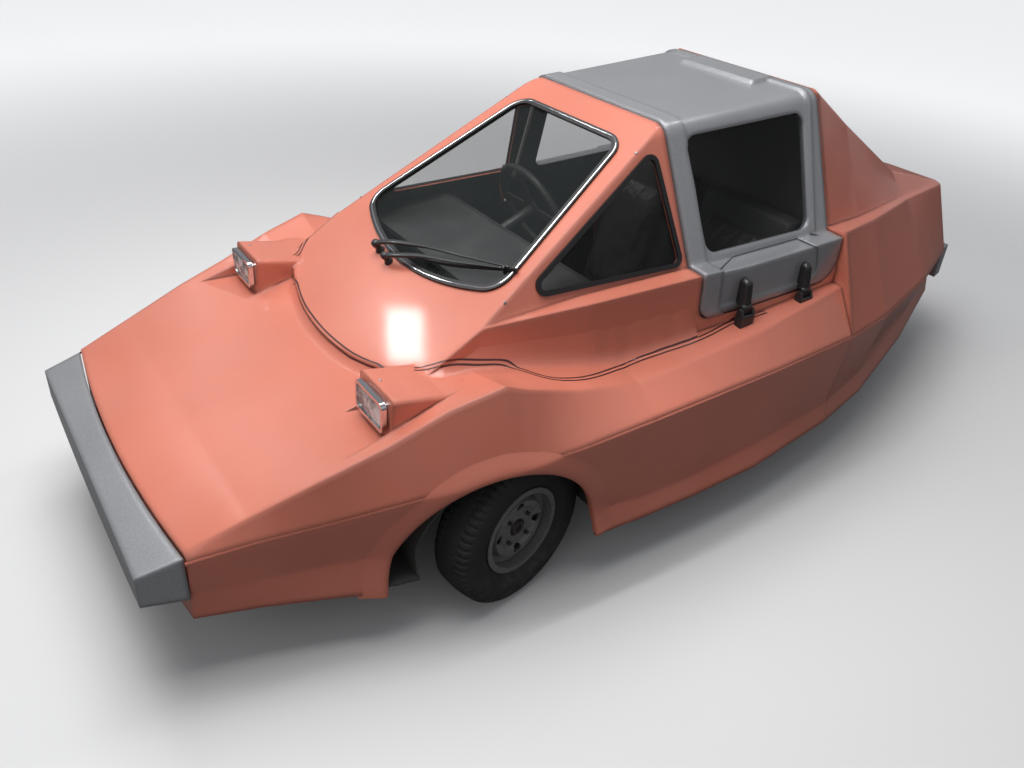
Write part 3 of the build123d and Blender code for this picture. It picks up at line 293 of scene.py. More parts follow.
class Shade:
    """A small hand for wiring one material or group."""

    def __init__(self, tree):
        self.tree = tree

    def put(self, socket, value):
        if isinstance(value, bpy.types.NodeSocket):
            self.tree.links.new(value, socket)
        else:
            socket.default_value = value

    def fill(self, node, inputs):
        """Puts a number, a colour or another node's output into each of a node's inputs."""
        for key, value in inputs.items():
            self.put(node.inputs[key], value)

    def node(self, kind, inputs=None, **settings):
        made = self.tree.nodes.new(kind)
        for key, value in settings.items():
            setattr(made, key, value)
        self.fill(made, inputs or {})
        return made

    def math(self, operation, a, b=0.0):
        return self.node("ShaderNodeMath", {0: a, 1: b}, operation=operation).outputs[0]

    def times(self, *factors):
        """The product of two or more values."""
        product = factors[0]
        for factor in factors[1:]:
            product = self.math("MULTIPLY", product, factor)
        return product

    def vector(self, operation, a, b=(0.0, 0.0, 0.0), output="Vector"):
        return self.node("ShaderNodeVectorMath", {0: a, 1: b}, operation=operation).outputs[output]

    def axes(self, vector):
        return self.node("ShaderNodeSeparateXYZ", {0: vector}).outputs

    def mix(self, share, a, b):
        return self.node("ShaderNodeMix", {0: share, 6: a, 7: b}, data_type="RGBA").outputs[2]

    def band(self, value, low, high, to_low=0.0, to_high=1.0, smooth=True):
        """The value brought from low..high to to_low..to_high and kept within it."""
        return self.node("ShaderNodeMapRange", {0: value, 1: low, 2: high, 3: to_low, 4: to_high},
                         interpolation_type="SMOOTHSTEP" if smooth else "LINEAR").outputs[0]

    def place(self):
        return self.node("ShaderNodeTexCoord").outputs["Object"]

    def normal(self):
        return self.node("ShaderNodeNewGeometry").outputs["Normal"]

    def noise(self, scale, detail=3.0, rough=0.5):
        return self.node("ShaderNodeTexNoise", {"Vector": self.place(), "Scale": scale, "Detail": detail,
                                                "Roughness": rough}).outputs[0]

    def cells(self, scale):
        return self.node("ShaderNodeTexVoronoi", {"Vector": self.place(), "Scale": scale}).outputs


def rgba(colour):
    return (*tuple(colour)[:3], 1.0)


def group(name, inputs, output, build):
    """A shader node group made once: named number inputs, one output worked out by build."""
    if name in bpy.data.node_groups:
        return bpy.data.node_groups[name]
    tree = bpy.data.node_groups.new(name, "ShaderNodeTree")
    for label, value in inputs.items():
        socket = tree.interface.new_socket(name=label, in_out="INPUT", socket_type="NodeSocketFloat")
        socket.default_value = value
    tree.interface.new_socket(name=output, in_out="OUTPUT", socket_type="NodeSocketFloat")
    shade = Shade(tree)
    into = tree.nodes.new("NodeGroupInput")
    out = tree.nodes.new("NodeGroupOutput")
    shade.put(out.inputs[0], build(shade, into.outputs))
    return tree


def dust_group():
    """Cloudy settled dust, thicker on faces that look up."""
    def build(s, given):
        cloud = s.noise(given["Scale"], 2.5, 0.5)
        lying = s.band(s.axes(s.normal())[2], 0.0, 0.9, 0.08, 1.0)
        return s.times(s.math("POWER", cloud, 2.6), lying, given["Amount"])
    return group("settled_dust", {"Scale": 6.0, "Amount": 0.5}, "Mask", build)


def grain_group():
    """Fine pebbled grain: small cells broken up by noise."""
    def build(s, given):
        cells = s.cells(given["Scale"])["Distance"]
        return s.math("ADD", s.times(cells, 0.7), s.times(s.noise(given["Scale"], 2.0), 0.3))
    return group("pebbled_grain", {"Scale": 900.0}, "Height", build)


def road_group():
    """Road dirt that gets thicker near the floor."""
    def build(s, given):
        low = s.band(s.axes(s.place())[2], given["Top"], 0.0)
        return s.times(low, s.band(s.noise(26.0, 6.0, 0.6), 0.3, 0.75), given["Amount"])
    return group("road_dirt", {"Top": 0.35, "Amount": 0.6}, "Mask", build)


# The cabin's middle, from which the inner faces of its moulding are told, and the reach of the painted
# shade on them: its ends along the car, the height above which it starts, and that height behind the
# wheel arches.
CABIN_MIDDLE = (0.0, -0.10, 0.60)
SHADE_FRONT, SHADE_BACK, SHADE_FOOT, SHADE_LOW, ARCH_BACK = -0.92, 0.50, 0.50, 0.20, -0.50


def cabin_shade_group():
    """Painted shade inside the cabin: 1 on its walls and roof where they look in at its middle, 0 elsewhere."""
    def build(s, given):
        outward = s.vector("NORMALIZE", s.vector("SUBTRACT", s.place(), CABIN_MIDDLE))
        normal = s.normal()
        facing = s.vector("DOT_PRODUCT", outward, normal, output="Value")
        _, along, height = s.axes(s.place())
        _, turned_along, turned_up = s.axes(normal)
        foot = s.band(along, ARCH_BACK - 0.01, ARCH_BACK, SHADE_FOOT, SHADE_LOW)
        return s.times(s.math("LESS_THAN", facing, -0.03), s.math("GREATER_THAN", along, SHADE_FRONT),
                       s.math("LESS_THAN", along, SHADE_BACK), s.math("GREATER_THAN", height, foot),
                       s.math("LESS_THAN", turned_up, 0.15),
                       s.math("LESS_THAN", s.math("ABSOLUTE", turned_along), 0.5), given["Amount"])
    return group("painted_cabin_shade", {"Amount": 1.0}, "Mask", build)


def worked(s, tree, **values):
    """The output of one of the shared groups, placed in a material with its own values."""
    return s.node("ShaderNodeGroup", values, node_tree=tree).outputs[0]


def new_material(name):
    made = bpy.data.materials.new(name)
    made.use_nodes = True
    return made, Shade(made.node_tree), made.node_tree.nodes["Principled BSDF"]


def bump(s, shader, height, distance, crease=0.0):
    """Fine relief in the normal; creases are rounded over a radius where one is given."""
    made = s.node("ShaderNodeBump", {"Height": height, "Distance": distance, "Strength": 1.0})
    if crease:
        s.put(made.inputs["Normal"], s.node("ShaderNodeBevel", {"Radius": crease}, samples=6).outputs[0])
    s.put(shader.inputs["Normal"], made.outputs[0])


# Colours of what lies on the finishes or shows through them, and of the painted shade inside the cabin.
PALE_DUST = 0.42
ROAD_DIRT, RUST, FLAKE = (0.16, 0.13, 0.11, 1.0), (0.16, 0.07, 0.035, 1.0), (0.72, 0.74, 0.76, 1.0)
CABIN_SHADE_DARK, CABIN_SHADE_PALE = (0.018, 0.017, 0.017, 1.0), (0.030, 0.029, 0.028, 1.0)
RUBBER_BLOOM, TYRE_DIRT = (0.10, 0.098, 0.095, 1.0), (0.12, 0.11, 0.10, 1.0)
PANE_DUST, PLASTIC_DUST = (0.34, 0.35, 0.36, 1.0), (0.20, 0.195, 0.19, 1.0)


def painted(name, colour, dust, rough, coat, metal=0.0, flake=0.0, crease=0.0, shade_inside=0.0):
    """Sprayed paint: faint orange peel, cloudy dust, road dirt low down, painted shade inside the cabin."""
    made, s, shader = new_material(name)
    lying = worked(s, dust_group(), Scale=5.0, Amount=dust)
    dirt = worked(s, road_group(), Top=0.34, Amount=0.22)
    shift = s.band(s.noise(2.3), 0.3, 0.7, 0.94, 1.05)
    base = s.node("ShaderNodeVectorMath", {0: tuple(colour)[:3], "Scale": shift}, operation="SCALE")
    tint = s.mix(lying, base.outputs[0], rgba([(c + PALE_DUST) / 2 for c in colour]))
    tint = s.mix(dirt, tint, ROAD_DIRT)
    if flake:
        sparkle = s.axes(s.cells(1400.0)["Color"])[0]
        tint = s.mix(s.band(sparkle, 0.55, 1.0, 0.0, flake), tint, FLAKE)
    gloss = s.times(s.math("SUBTRACT", 1.0, lying), coat)
    dull = s.math("ADD", s.times(lying, 0.35), s.math("ADD", dirt, rough))
    # Painted shade: faces that look into the cabin turn near black with a faint mottle, lose their coat and dull.
    if shade_inside:
        inner = worked(s, cabin_shade_group(), Amount=shade_inside)
        shade_mottle = s.band(s.noise(38.0, 5.0), 0.3, 0.7)
        tint = s.mix(inner, tint, s.mix(shade_mottle, CABIN_SHADE_DARK, CABIN_SHADE_PALE))
        gloss = s.times(s.math("SUBTRACT", 1.0, inner), gloss)
        dull = s.math("ADD", dull, s.times(inner, 0.6))
    s.fill(shader, {"Base Color": tint, "Roughness": dull, "Metallic": metal, "Coat Weight": gloss,
                    "Coat Roughness": 0.09, "Specular IOR Level": 0.38})
    bump(s, shader, s.noise(160.0, 2.0), 0.00012, crease)
    return made


def rubber(name, colour, rough, depth=0.00012, chalk=0.12):
    """Black rubber with a greyish bloom."""
    made, s, shader = new_material(name)
    bloom = worked(s, dust_group(), Scale=14.0, Amount=chalk)
    dirt = worked(s, road_group(), Top=0.3, Amount=0.4)
    s.fill(shader, {"Base Color": s.mix(dirt, s.mix(bloom, rgba(colour), RUBBER_BLOOM), TYRE_DIRT),
                    "Roughness": s.math("ADD", s.times(bloom, 0.25), rough)})
    bump(s, shader, worked(s, grain_group(), Scale=420.0), depth)
    return made


def metal(name, colour, rough, marks, depth=0.00008, metallic=1.0, rust=0.0):
    """Bright or dull metal with uneven polish, and rust spots where asked."""
    made, s, shader = new_material(name)
    uneven = s.noise(60.0, 5.0, 0.6)
    tint = s.mix(s.band(uneven, 0.35, 0.75, 0.0, marks), rgba(colour), rgba([0.55 * c for c in colour]))
    spots = s.times(s.band(s.noise(95.0, 6.0, 0.7), 0.55, 0.7), rust)
    s.fill(shader, {"Base Color": s.mix(spots, tint, RUST),
                    "Metallic": s.times(s.math("SUBTRACT", 1.0, spots), metallic),
                    "Roughness": s.math("ADD", s.band(uneven, 0.3, 0.8, rough * 0.8, rough * 1.3),
                                        s.times(spots, 0.4))})
    bump(s, shader, uneven, depth)
    return made


def glass(name, tint, clear, film):
    """Panes: a see-through share in the alpha, a dusty film and a glossy face."""
    made, s, shader = new_material(name)
    lying = worked(s, dust_group(), Scale=4.0, Amount=film)
    s.fill(shader, {"Base Color": s.mix(lying, rgba(tint), PANE_DUST),
                    "Roughness": s.math("ADD", s.times(lying, 0.2), 0.03),
                    "Alpha": s.math("ADD", s.times(lying, 0.25), 1.0 - clear),
                    "IOR": 1.5, "Coat Weight": 0.6, "Coat Roughness": 0.02})
    return made


def lamp_glass(name):
    """Headlamp glass whose colour holds painted reflections of the bowl behind it and painted glints."""
    made, s, shader = new_material(name)
    # Painted reflection: noise sets the glass's colour between dark and near white patches.
    glints = s.math("ADD", s.times(s.noise(34.0), 0.75), s.times(s.noise(190.0, 2.0), 0.25))
    tint = s.mix(s.band(glints, 0.36, 0.60), (0.26, 0.265, 0.28, 1.0), (0.95, 0.96, 0.97, 1.0))
    s.fill(shader, {"Base Color": tint, "Alpha": 0.8, "Roughness": 0.12,
                    "Coat Weight": 0.8, "Coat Roughness": 0.02})
    return made


def plastic(name, colour, rough=0.55, grain=1100.0, depth=0.00006, dust=0.3):
    """Moulded plastic or resin with a pebbled face."""
    made, s, shader = new_material(name)
    lying = worked(s, dust_group(), Scale=9.0, Amount=dust)
    s.fill(shader, {"Base Color": s.mix(lying, rgba(colour), PLASTIC_DUST),
                    "Roughness": s.math("ADD", s.times(lying, 0.2), rough)})
    bump(s, shader, worked(s, grain_group(), Scale=grain), depth)
    return made


def vinyl(name, colour):
    """Seat vinyl: leathery grain, rubbed shinier where it is sat on."""
    made, s, shader = new_material(name)
    rub = s.band(s.noise(7.0, 4.0), 0.4, 0.7)
    s.fill(shader, {"Base Color": s.mix(rub, rgba(colour), rgba([min(1.0, 2.0 * c) for c in colour])),
                    "Roughness": s.band(rub, 0.0, 1.0, 0.55, 0.38)})
    bump(s, shader, worked(s, grain_group(), Scale=650.0), 0.00010)
    return made


class CAR_OT_paint(bpy.types.Operator):
    """Makes every finish and gives the carried-over solids theirs"""
    bl_idname = "car.paint"
    bl_label = "Paint the solids"

    def execute(self, context):
        paint, tyres, seats = context.scene.car_paint, context.scene.car_tyres, context.scene.car_seats
        finishes = {
            # shade_inside gives the faces that look into the cabin a near black painted shade.
            "body_paint": painted("salmon_gloss", paint.body, dust=0.22, rough=0.29, coat=0.6, crease=0.026,
                                  shade_inside=1.0),
            "canopy_paint": painted("silver_paint", paint.canopy, dust=0.2, rough=0.30, coat=0.6, metal=0.45,
                                    flake=0.4, crease=0.022, shade_inside=1.0),
            "tinted_glass": glass("smoked_pane", (0.006, 0.007, 0.008), clear=0.84, film=0.05),
            "clear_glass": glass("clear_pane", (0.06, 0.07, 0.068), clear=0.90, film=0.12),
            "lens_glass": lamp_glass("lamp_glass"),
            "red_lens": plastic("red_lens", (0.42, 0.012, 0.01), rough=0.16, depth=0.0, dust=0.15),
            "rubber": rubber("seal_rubber", (0.010, 0.010, 0.011), rough=0.42),
            "tyre": rubber("tyre_rubber", tyres.rubber, rough=0.78, chalk=0.25, depth=0.0003),
            "chrome": metal("polished_chrome", (0.78, 0.79, 0.80), rough=0.09, marks=0.25),
            "wheel_paint": metal("wheel_enamel", (0.21, 0.205, 0.20), rough=0.5, marks=0.5, metallic=0.3,
                                 rust=0.25),
            "cast_iron": metal("cast_iron", (0.10, 0.09, 0.085), rough=0.6, marks=0.5, depth=0.0005,
                               metallic=0.7, rust=0.6),
            "black_paint": painted("black_enamel", (0.018, 0.018, 0.019), dust=0.35, rough=0.34, coat=0.2),
            "bright_steel": metal("plain_steel", (0.42, 0.42, 0.42), rough=0.38, marks=0.5, rust=0.3),
            "spring_steel": painted("spring_enamel", (0.02, 0.02, 0.021), dust=0.4, rough=0.4, coat=0.1),
            "alloy": metal("cast_alloy", (0.40, 0.40, 0.39), rough=0.45, marks=0.4, depth=0.0004),
            "black_plastic": plastic("black_plastic", (0.022, 0.022, 0.023)),
            "floor_resin": plastic("floor_resin", (0.05, 0.048, 0.045), rough=0.7, grain=300.0,
                                   depth=0.0003, dust=0.6),
            "seat_cover": vinyl("seat_vinyl", seats.cover),
        }
        painted("stripe_paint", paint.stripe, dust=0.2, rough=0.3, coat=0.4)
        for name, node in NODES.items():
            node.data.materials.clear()
            node.data.materials.append(finishes[SLOT_OF[name]])
        return {"FINISHED"}


# The stage.

# The camera's right, down and ahead in the car's frame, its place in metres, and its lens on a 36 mm frame.
CAMERA_RIGHT = np.array((0.555668, 0.829240, 0.059949))
CAMERA_DOWN = np.array((0.467065, -0.251698, -0.847643))
CAMERA_AHEAD = np.array((-0.687811, 0.499008, -0.527169))
CAMERA_PLACE = (2.23665, -2.0245, 1.953)
CAMERA_LENS, CAMERA_SENSOR = 31.24, 36.0
HORIZON, HORIZON_GLOW, SKY = (0.93, 0.94, 0.95, 1.0), 0.70, (0.93, 0.95, 1.0, 1.0)
SKY_SEEN = 0.88                              # the sky's strength where it is seen directly
NEAR_FLOOR, FAR_FLOOR = 2.4, 7.5             # the floor starts to glow and glows in full this far out
FLOOR_HEIGHT, LAMPS_AIM = -0.0005, (0.0, 0.0, 0.5)


def seen_directly(s):
    """1 for rays from the camera and through glass, 0 for those that light the car."""
    path = s.node("ShaderNodeLightPath").outputs
    return s.math("MAXIMUM", path["Is Camera Ray"], path["Is Transmission Ray"])


def posed(name, data, right, up, back, place):
    """An object for a lamp or a camera, set by its three axes and its place."""
    holder = bpy.data.objects.new(name, data)
    bpy.context.scene.collection.objects.link(holder)
    holder.matrix_world = Matrix([*zip(right, up, back, place), (0, 0, 0, 1)])
    return holder


class CAR_OT_stage(bpy.types.Operator):
    """Pale floor, soft lamps and the camera at the photograph's angle"""
    bl_idname = "car.stage"
    bl_label = "Stage and camera"

    def execute(self, context):
        look = context.scene.car_stage
        made, s, shader = new_material("studio_floor")
        seen = seen_directly(s)
        glow = s.band(s.vector("LENGTH", s.place(), output="Value"), NEAR_FLOOR, FAR_FLOOR, 0.0, HORIZON_GLOW)
        s.fill(shader, {"Base Color": s.mix(seen, rgba(look.bounce), rgba(look.floor)), "Roughness": 0.8,
                        "Emission Color": HORIZON, "Emission Strength": s.times(seen, glow)})
        reach = np.linspace(-look.floor_reach, look.floor_reach, 5)
        x, y = np.meshgrid(reach, reach, indexing="ij")
        plane = np.stack([x, y, np.full(x.shape, FLOOR_HEIGHT)], axis=-1)
        floor = stacked("studio_floor", [sheet(plane, flip=True)])
        floor.data.materials.append(made)

        world = bpy.data.worlds.new("studio")
        world.use_nodes = True
        s = Shade(world.node_tree)
        strength = s.band(seen_directly(s), 0.0, 1.0, look.sky, SKY_SEEN, smooth=False)
        s.fill(world.node_tree.nodes["Background"], {"Color": SKY, "Strength": strength})
        context.scene.world = world
        for name, place, size, power in (("key", (-0.5, -1.2, 4.6), (4.5, 3.0), look.key),
                                         ("front_fill", (2.5, -5.2, 3.0), (5.0, 3.0), look.fill),
                                         ("side_fill", (5.2, 1.0, 3.2), (5.0, 3.0), look.fill * 0.25),
                                         ("tube", (0.3, -0.3, 3.7), (0.14, 4.5), look.tube),
                                         ("spark", (-2.05, -1.76, 2.46), (0.34, 0.22), look.spark)):
            lamp = bpy.data.lights.new(name, "AREA")
            lamp.shape, lamp.energy = "RECTANGLE", power
            lamp.size, lamp.size_y = size
            aim = unit(np.subtract(LAMPS_AIM, place))
            right = unit(np.cross(aim, (0.0, 0.0, 1.0) if abs(aim[2]) < 0.99 else (0.0, 1.0, 0.0)))
            posed(name, lamp, right, np.cross(right, aim), -aim, place)

        camera = bpy.data.cameras.new("camera")
        camera.sensor_width, camera.lens = CAMERA_SENSOR, CAMERA_LENS
        context.scene.camera = posed("camera", camera, CAMERA_RIGHT, -CAMERA_DOWN, -CAMERA_AHEAD,
                                     CAMERA_PLACE)
        context.scene.view_settings.view_transform = "Standard"
        return {"FINISHED"}


# A tyre's section from the bead out to the tread's edge, and the line that closes it inside, as distance from
# the wheel's middle plane and radius. The tread falls a little towards its edges, and is cut above a radius.
TYRE_SECTION = [(0.051, 0.1272), (0.0515, 0.141), (0.060, 0.152), (0.0705, 0.168), (0.0733, 0.186),
                (0.0715, 0.207), (0.0665, 0.224), (0.0600, 0.2345), (0.0530, 0.2402)]
TYRE_INSIDE = [(-0.037, 0.1272), (-0.050, 0.186), (0.0, 0.224), (0.050, 0.186), (0.037, 0.1272)]
TYRE_RADIUS, TREAD_HALF, TREAD_FALL, CUT_ABOVE = 0.245, 0.051, 0.0042, 0.226
BLOCK_STEPS = (0.0, 0.09, 0.13, 0.35, 0.57, 0.78, 0.82, 0.91)   # shares of a block that get a row of points
RINGS_FROM, RINGS_TO, RING_PITCH, RING_HEIGHT = 0.150, 0.178, 0.009, 0.0005     # on the side wall


def tyre_surface(centre, axis, blocks, groove):
    """Rows go round the wheel and columns round the tyre's section. The section's radius is lowered by the
    groove depth where a point lies in a cross groove of the shoulder or in one of the waving grooves round
    the tread, whose place across swings with the angle."""
    section = lines_through(TYRE_SECTION, 26)
    tread = np.linspace(TREAD_HALF, -TREAD_HALF, 47)
    crown = np.stack([tread, TYRE_RADIUS - TREAD_FALL * (tread / TREAD_HALF) ** 2], axis=1)
    profile = np.vstack([section, crown, section[::-1] * (-1, 1), TYRE_INSIDE])
    across, radius = profile[:, 0], profile[:, 1]
    angle = ((np.arange(blocks)[:, None] + BLOCK_STEPS) / blocks * 2 * np.pi).ravel()
    phase = np.tile(BLOCK_STEPS, blocks)[:, None]
    swing = 0.0022 * np.sign(np.sin(angle * blocks))[:, None]
    shoulder = ((phase > 0.80) | (phase < 0.10)) & (np.abs(across) > 0.031)
    waving = (np.abs(np.abs(across + swing) - 0.0285) < 0.0021) | (np.abs(across - swing) < 0.0016)
    sipe = (np.abs(phase - 0.46) < 0.12) & (np.abs(across) > 0.006) & (np.abs(across) < 0.023)
    depth = groove * np.where(radius > CUT_ABOVE, np.maximum(shoulder | waving, sipe * 0.25), 0)
    on_ring = (radius > RINGS_FROM) & (radius < RINGS_TO)
    rings = RING_HEIGHT * np.sin((radius - RINGS_FROM) * 2 * np.pi / RING_PITCH) * on_ring
    axis = unit(np.asarray(axis, float))
    up = np.array([0.0, 0.0, 1.0])
    ring = np.cos(angle)[:, None, None] * up + np.sin(angle)[:, None, None] * np.cross(axis, up)
    wide = (across + np.sign(across) * rings)[None, :, None]
    return np.asarray(centre, float) + wide * axis + (radius - depth)[..., None] * ring


class CAR_OT_tyres(bpy.types.Operator):
    """Turned tyres with worn road tread in place of the plain ones"""
    bl_idname = "car.tyres"
    bl_label = "Tyres with tread"

    def execute(self, context):
        look = context.scene.car_tyres
        joints = {joint["name"]: joint for joint in frame["joints"]}
        for label, spin, body in (("left", "left_front_spin", "left_front_wheel"),
                                  ("right", "right_front_spin", "right_front_wheel"),
                                  ("rear", "rear_spin", "back_wheel")):
            surface = tyre_surface(joints[spin]["pos_m"], joints[spin]["axis"], look.blocks, look.groove)
            tyre = stacked(f"{label}_tread", [sheet(surface, wrap_rows=True, wrap_columns=True)])
            finish_piece(tyre, body, "tyre_rubber")
            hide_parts(f"{label}_tyre")
        return {"FINISHED"}


# The windscreen's plane and half its outline, as in the solids, with the radius of its corners and along its
# lower edge's bow. Then the bright strip's height above the glass, and its half width and half height.
SCREEN_ORIGIN = (0.0, 0.102 + FRONT_AXLE_Y, 0.868)
SCREEN_SLOPE = math.radians(32.2)
SCREEN_BOTTOM, SCREEN_TOP, SCREEN_LENGTH, SCREEN_BOW = 0.397, 0.263, 0.601, 0.105
SCREEN_CORNER, BOW_CORNER = 0.075, 0.15
STRIP_STAND, STRIP_HALVES = 0.0082, (0.0032, 0.0014)
SCREEN_AXES = np.array([(1.0, 0.0, 0.0), (0.0, math.cos(SCREEN_SLOPE), math.sin(SCREEN_SLOPE)),
                        (0.0, -math.sin(SCREEN_SLOPE), math.cos(SCREEN_SLOPE))])
OFF_GLASS = SCREEN_AXES[2]


def on_screen(table):
    """Places in the car's frame from rows of across, up the slope and height above the glass."""
    return np.asarray(SCREEN_ORIGIN) + np.asarray(table, float) @ SCREEN_AXES


def rounded_outline(corners, radius, count):
    """Closed outline with each corner cut by an arc that touches both sides at an equal distance."""
    before, after = np.roll(corners, 1, 0), np.roll(corners, -1, 0)
    a, b = unit(before - corners), unit(after - corners)
    half = np.arccos(np.clip(np.sum(a * b, 1), -1, 1)) / 2
    reach = radius / np.tan(half)
    hub = corners + unit(a + b) * (radius / np.sin(half))[:, None]
    first, last = corners + a * reach[:, None], corners + b * reach[:, None]
    share = np.linspace(0, 1, count)[None, :, None]
    chord = unit((1 - share) * (first - hub)[:, None] + share * (last - hub)[:, None])
    return (hub[:, None] + chord * radius[:, None, None]).reshape(-1, corners.shape[1])


class CAR_OT_screen_trim(bpy.types.Operator):
    """Bright strip let into the windscreen's rubber"""
    bl_idname = "car.screen_trim"
    bl_label = "Windscreen strip"

    def execute(self, context):
        bow = np.linspace(-1, 1, 13)[1:-1]
        corners = np.vstack([[(-SCREEN_TOP, SCREEN_LENGTH), (-SCREEN_BOTTOM, 0.0)],
                             np.stack([bow * SCREEN_BOTTOM, -SCREEN_BOW * (1 - bow ** 2)], axis=1),
                             [(SCREEN_BOTTOM, 0.0), (SCREEN_TOP, SCREEN_LENGTH)]])
        radius = np.full(len(corners), BOW_CORNER)
        radius[[0, 1, -2, -1]] = SCREEN_CORNER
        line = rounded_outline(corners, radius, 9)
        path = on_screen(np.column_stack([line, np.full(len(line), STRIP_STAND)]))
        strip = sweep(path, circle(1.0, 12) * STRIP_HALVES, OFF_GLASS, closed=True)
        piece = outward_faces(stacked("screen_strip", [sheet(strip, wrap_rows=True, wrap_columns=True)]))
        finish_piece(piece, "chassis", "polished_chrome")
        return {"FINISHED"}


# The twin lines' middle as x, station and height: round the foot of the dome, then along one side.
DOME_LINE = [(-0.335, -0.2325, 0.66), (-0.250, -0.2490, 0.66), (-0.150, -0.2640, 0.66),
             (-0.075, -0.2715, 0.66), (0.0, -0.2745, 0.66), (0.075, -0.2715, 0.66), (0.150, -0.2640, 0.66),
             (0.250, -0.2490, 0.66), (0.335, -0.2325, 0.66)]
SIDE_LINE = [(0.4145, -0.1819, 0.7043), (0.4283, -0.1556, 0.7057), (0.4541, -0.1303, 0.7217),
             (0.4668, -0.0943, 0.7277), (0.4691, -0.0481, 0.7208), (0.4725, -0.0012, 0.7109),
             (0.4790, 0.0300, 0.7000), (0.4960, 0.0640, 0.6890), (0.5180, 0.0860, 0.6862),
             (0.5430, 0.1048, 0.6848), (0.5728, 0.1232, 0.6825), (0.5960, 0.1498, 0.6769),
             (0.6071, 0.1964, 0.6657), (0.6129, 0.2351, 0.6585), (0.6110, 0.2851, 0.6496),
             (0.6012, 0.3449, 0.6404), (0.5876, 0.4101, 0.6317), (0.5799, 0.4881, 0.6317),
             (0.5798, 0.5621, 0.6341), (0.5807, 0.6348, 0.6361), (0.5855, 0.7092, 0.6420),
             (0.5858, 0.7789, 0.6495), (0.5800, 0.8515, 0.6582), (0.5780, 0.8923, 0.6630),
             (0.5860, 0.9600, 0.6660), (0.5900, 1.0540, 0.6700), (0.5940, 1.1550, 0.6740),
             (0.6000, 1.3400, 0.6800)]
LINE_POINTS = 420           # points along a painted line
PLACE_SPAN, NORMAL_SPAN = 9, 34     # points to either side over which a line's places and normals are evened
PAINT_STAND = 0.0006        # how far painted lines stand off the surface below them
FEELER = 0.020              # how far above the surface the lines are dropped from


def evened(rows, reach):
    """Points along a run, each replaced by a bell-weighted mean of those within reach of it."""
    weights = np.hanning(2 * reach + 3)[1:-1]
    padded = np.pad(np.array(rows), ((reach, reach), (0, 0)), mode="edge")
    return np.stack([np.convolve(padded[:, k], weights / weights.sum(), "valid") for k in range(3)], axis=1)


class CAR_OT_stripes(bpy.types.Operator):
    """Twin painted lines that run along the ledge from the nose, laid on the body's surface"""
    bl_idname = "car.stripes"
    bl_label = "Side lines"

    def execute(self, context):
        """Each line is a ribbon square to the surface's normal: the nearest surface gives the normal, which
        is evened out along the run, and every point is dropped along it onto the outermost surface."""
        paint = context.scene.car_paint
        tree = surface_tree((NODES["upper_body"], bpy.data.objects["foot_cove"]))
        ribbons = []
        for table, side in ((DOME_LINE, 1.0), (SIDE_LINE, 1.0), (SIDE_LINE, -1.0)):
            line = lines_through(table, LINE_POINTS) * (side, 1.0, 1.0) + (0.0, FRONT_AXLE_Y, 0.0)
            near = [tree.find_nearest(place) for place in line]
            line = evened([hit[0] for hit in near], PLACE_SPAN)
            normal = unit(evened([hit[1] for hit in near], NORMAL_SPAN))
            aside = unit(np.cross(normal, unit(np.gradient(line, axis=0))))
            for shift in (-0.5, 0.5):
                across = np.linspace(-0.5, 0.5, 3) * paint.stripe_width + shift * paint.stripe_pitch
                raised = line[:, None] + across[None, :, None] * aside[:, None] + FEELER * normal[:, None]
                points = np.empty(raised.shape)
                for row, column in np.ndindex(*raised.shape[:2]):
                    hit = tree.ray_cast(raised[row, column], -normal[row], 3 * FEELER)[0]
                    if hit is None:
                        raise RuntimeError(f"a side line left the body at {line[row].round(3)}")
                    points[row, column] = np.array(hit) + PAINT_STAND * normal[row]
                ribbons.append(sheet(points, flip=True))
        finish_piece(stacked("side_lines", ribbons), "chassis", "stripe_paint")
        return {"FINISHED"}


# A lamp's bezel, the rim of it that the glass leaves free, the play round the glass and how far its face lies
# behind the lens solid's front. Then the glass's ribs, crown and thickness.
BEZEL_WIDTH, BEZEL_RIM, GLASS_PLAY, GLASS_BACK = 0.156, 0.018, 0.0006, 0.0045
RIBS, RIB_HEIGHT, GLASS_CROWN, GLASS_THICKNESS = 14, 0.0010, 0.004, 0.0025


class CAR_OT_lamps(bpy.types.Operator):
    """Ribbed headlamp glasses"""
    bl_idname = "car.lamps"
    bl_label = "Headlamp glasses"

    def execute(self, context):
        """Over u and v from -1 to 1 the glass stands out by a crown that falls off with both squares and by
        ribs that follow the size of a sine across it, flat near the edges."""
        low, high = (np.array(v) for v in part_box("headlamp_lenses"))
        half_width = (BEZEL_WIDTH - BEZEL_RIM - GLASS_PLAY) / 2
        u = np.linspace(-1, 1, 169)[None, :]
        v = np.linspace(-1, 1, 25)[:, None]
        ribs = RIB_HEIGHT * np.abs(np.sin(u * math.pi * RIBS)) * (np.abs(u) < 0.93) * (np.abs(v) < 0.9)
        crown = GLASS_CROWN * (1 - u ** 2) * (1 - v ** 2)
        edge = 1 - 0.012 * np.abs(u) ** 20
        glasses = []
        for x in (high[0] - half_width, low[0] + half_width):
            points = np.stack([x + u * half_width * np.ones_like(v), low[1] + GLASS_BACK - crown - ribs,
                               (low[2] + high[2]) / 2 + v * edge * (high[2] - low[2]) / 2], axis=-1)
            glasses.append(sheet(points, flip=True))
        lens = stacked("ribbed_glasses", glasses)
        thick = lens.modifiers.new("thickness", "SOLIDIFY")
        thick.thickness, thick.offset = GLASS_THICKNESS, -1.0
        finish_piece(applied(lens), "chassis", "lamp_glass")
        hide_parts("headlamp_lenses")
        return {"FINISHED"}


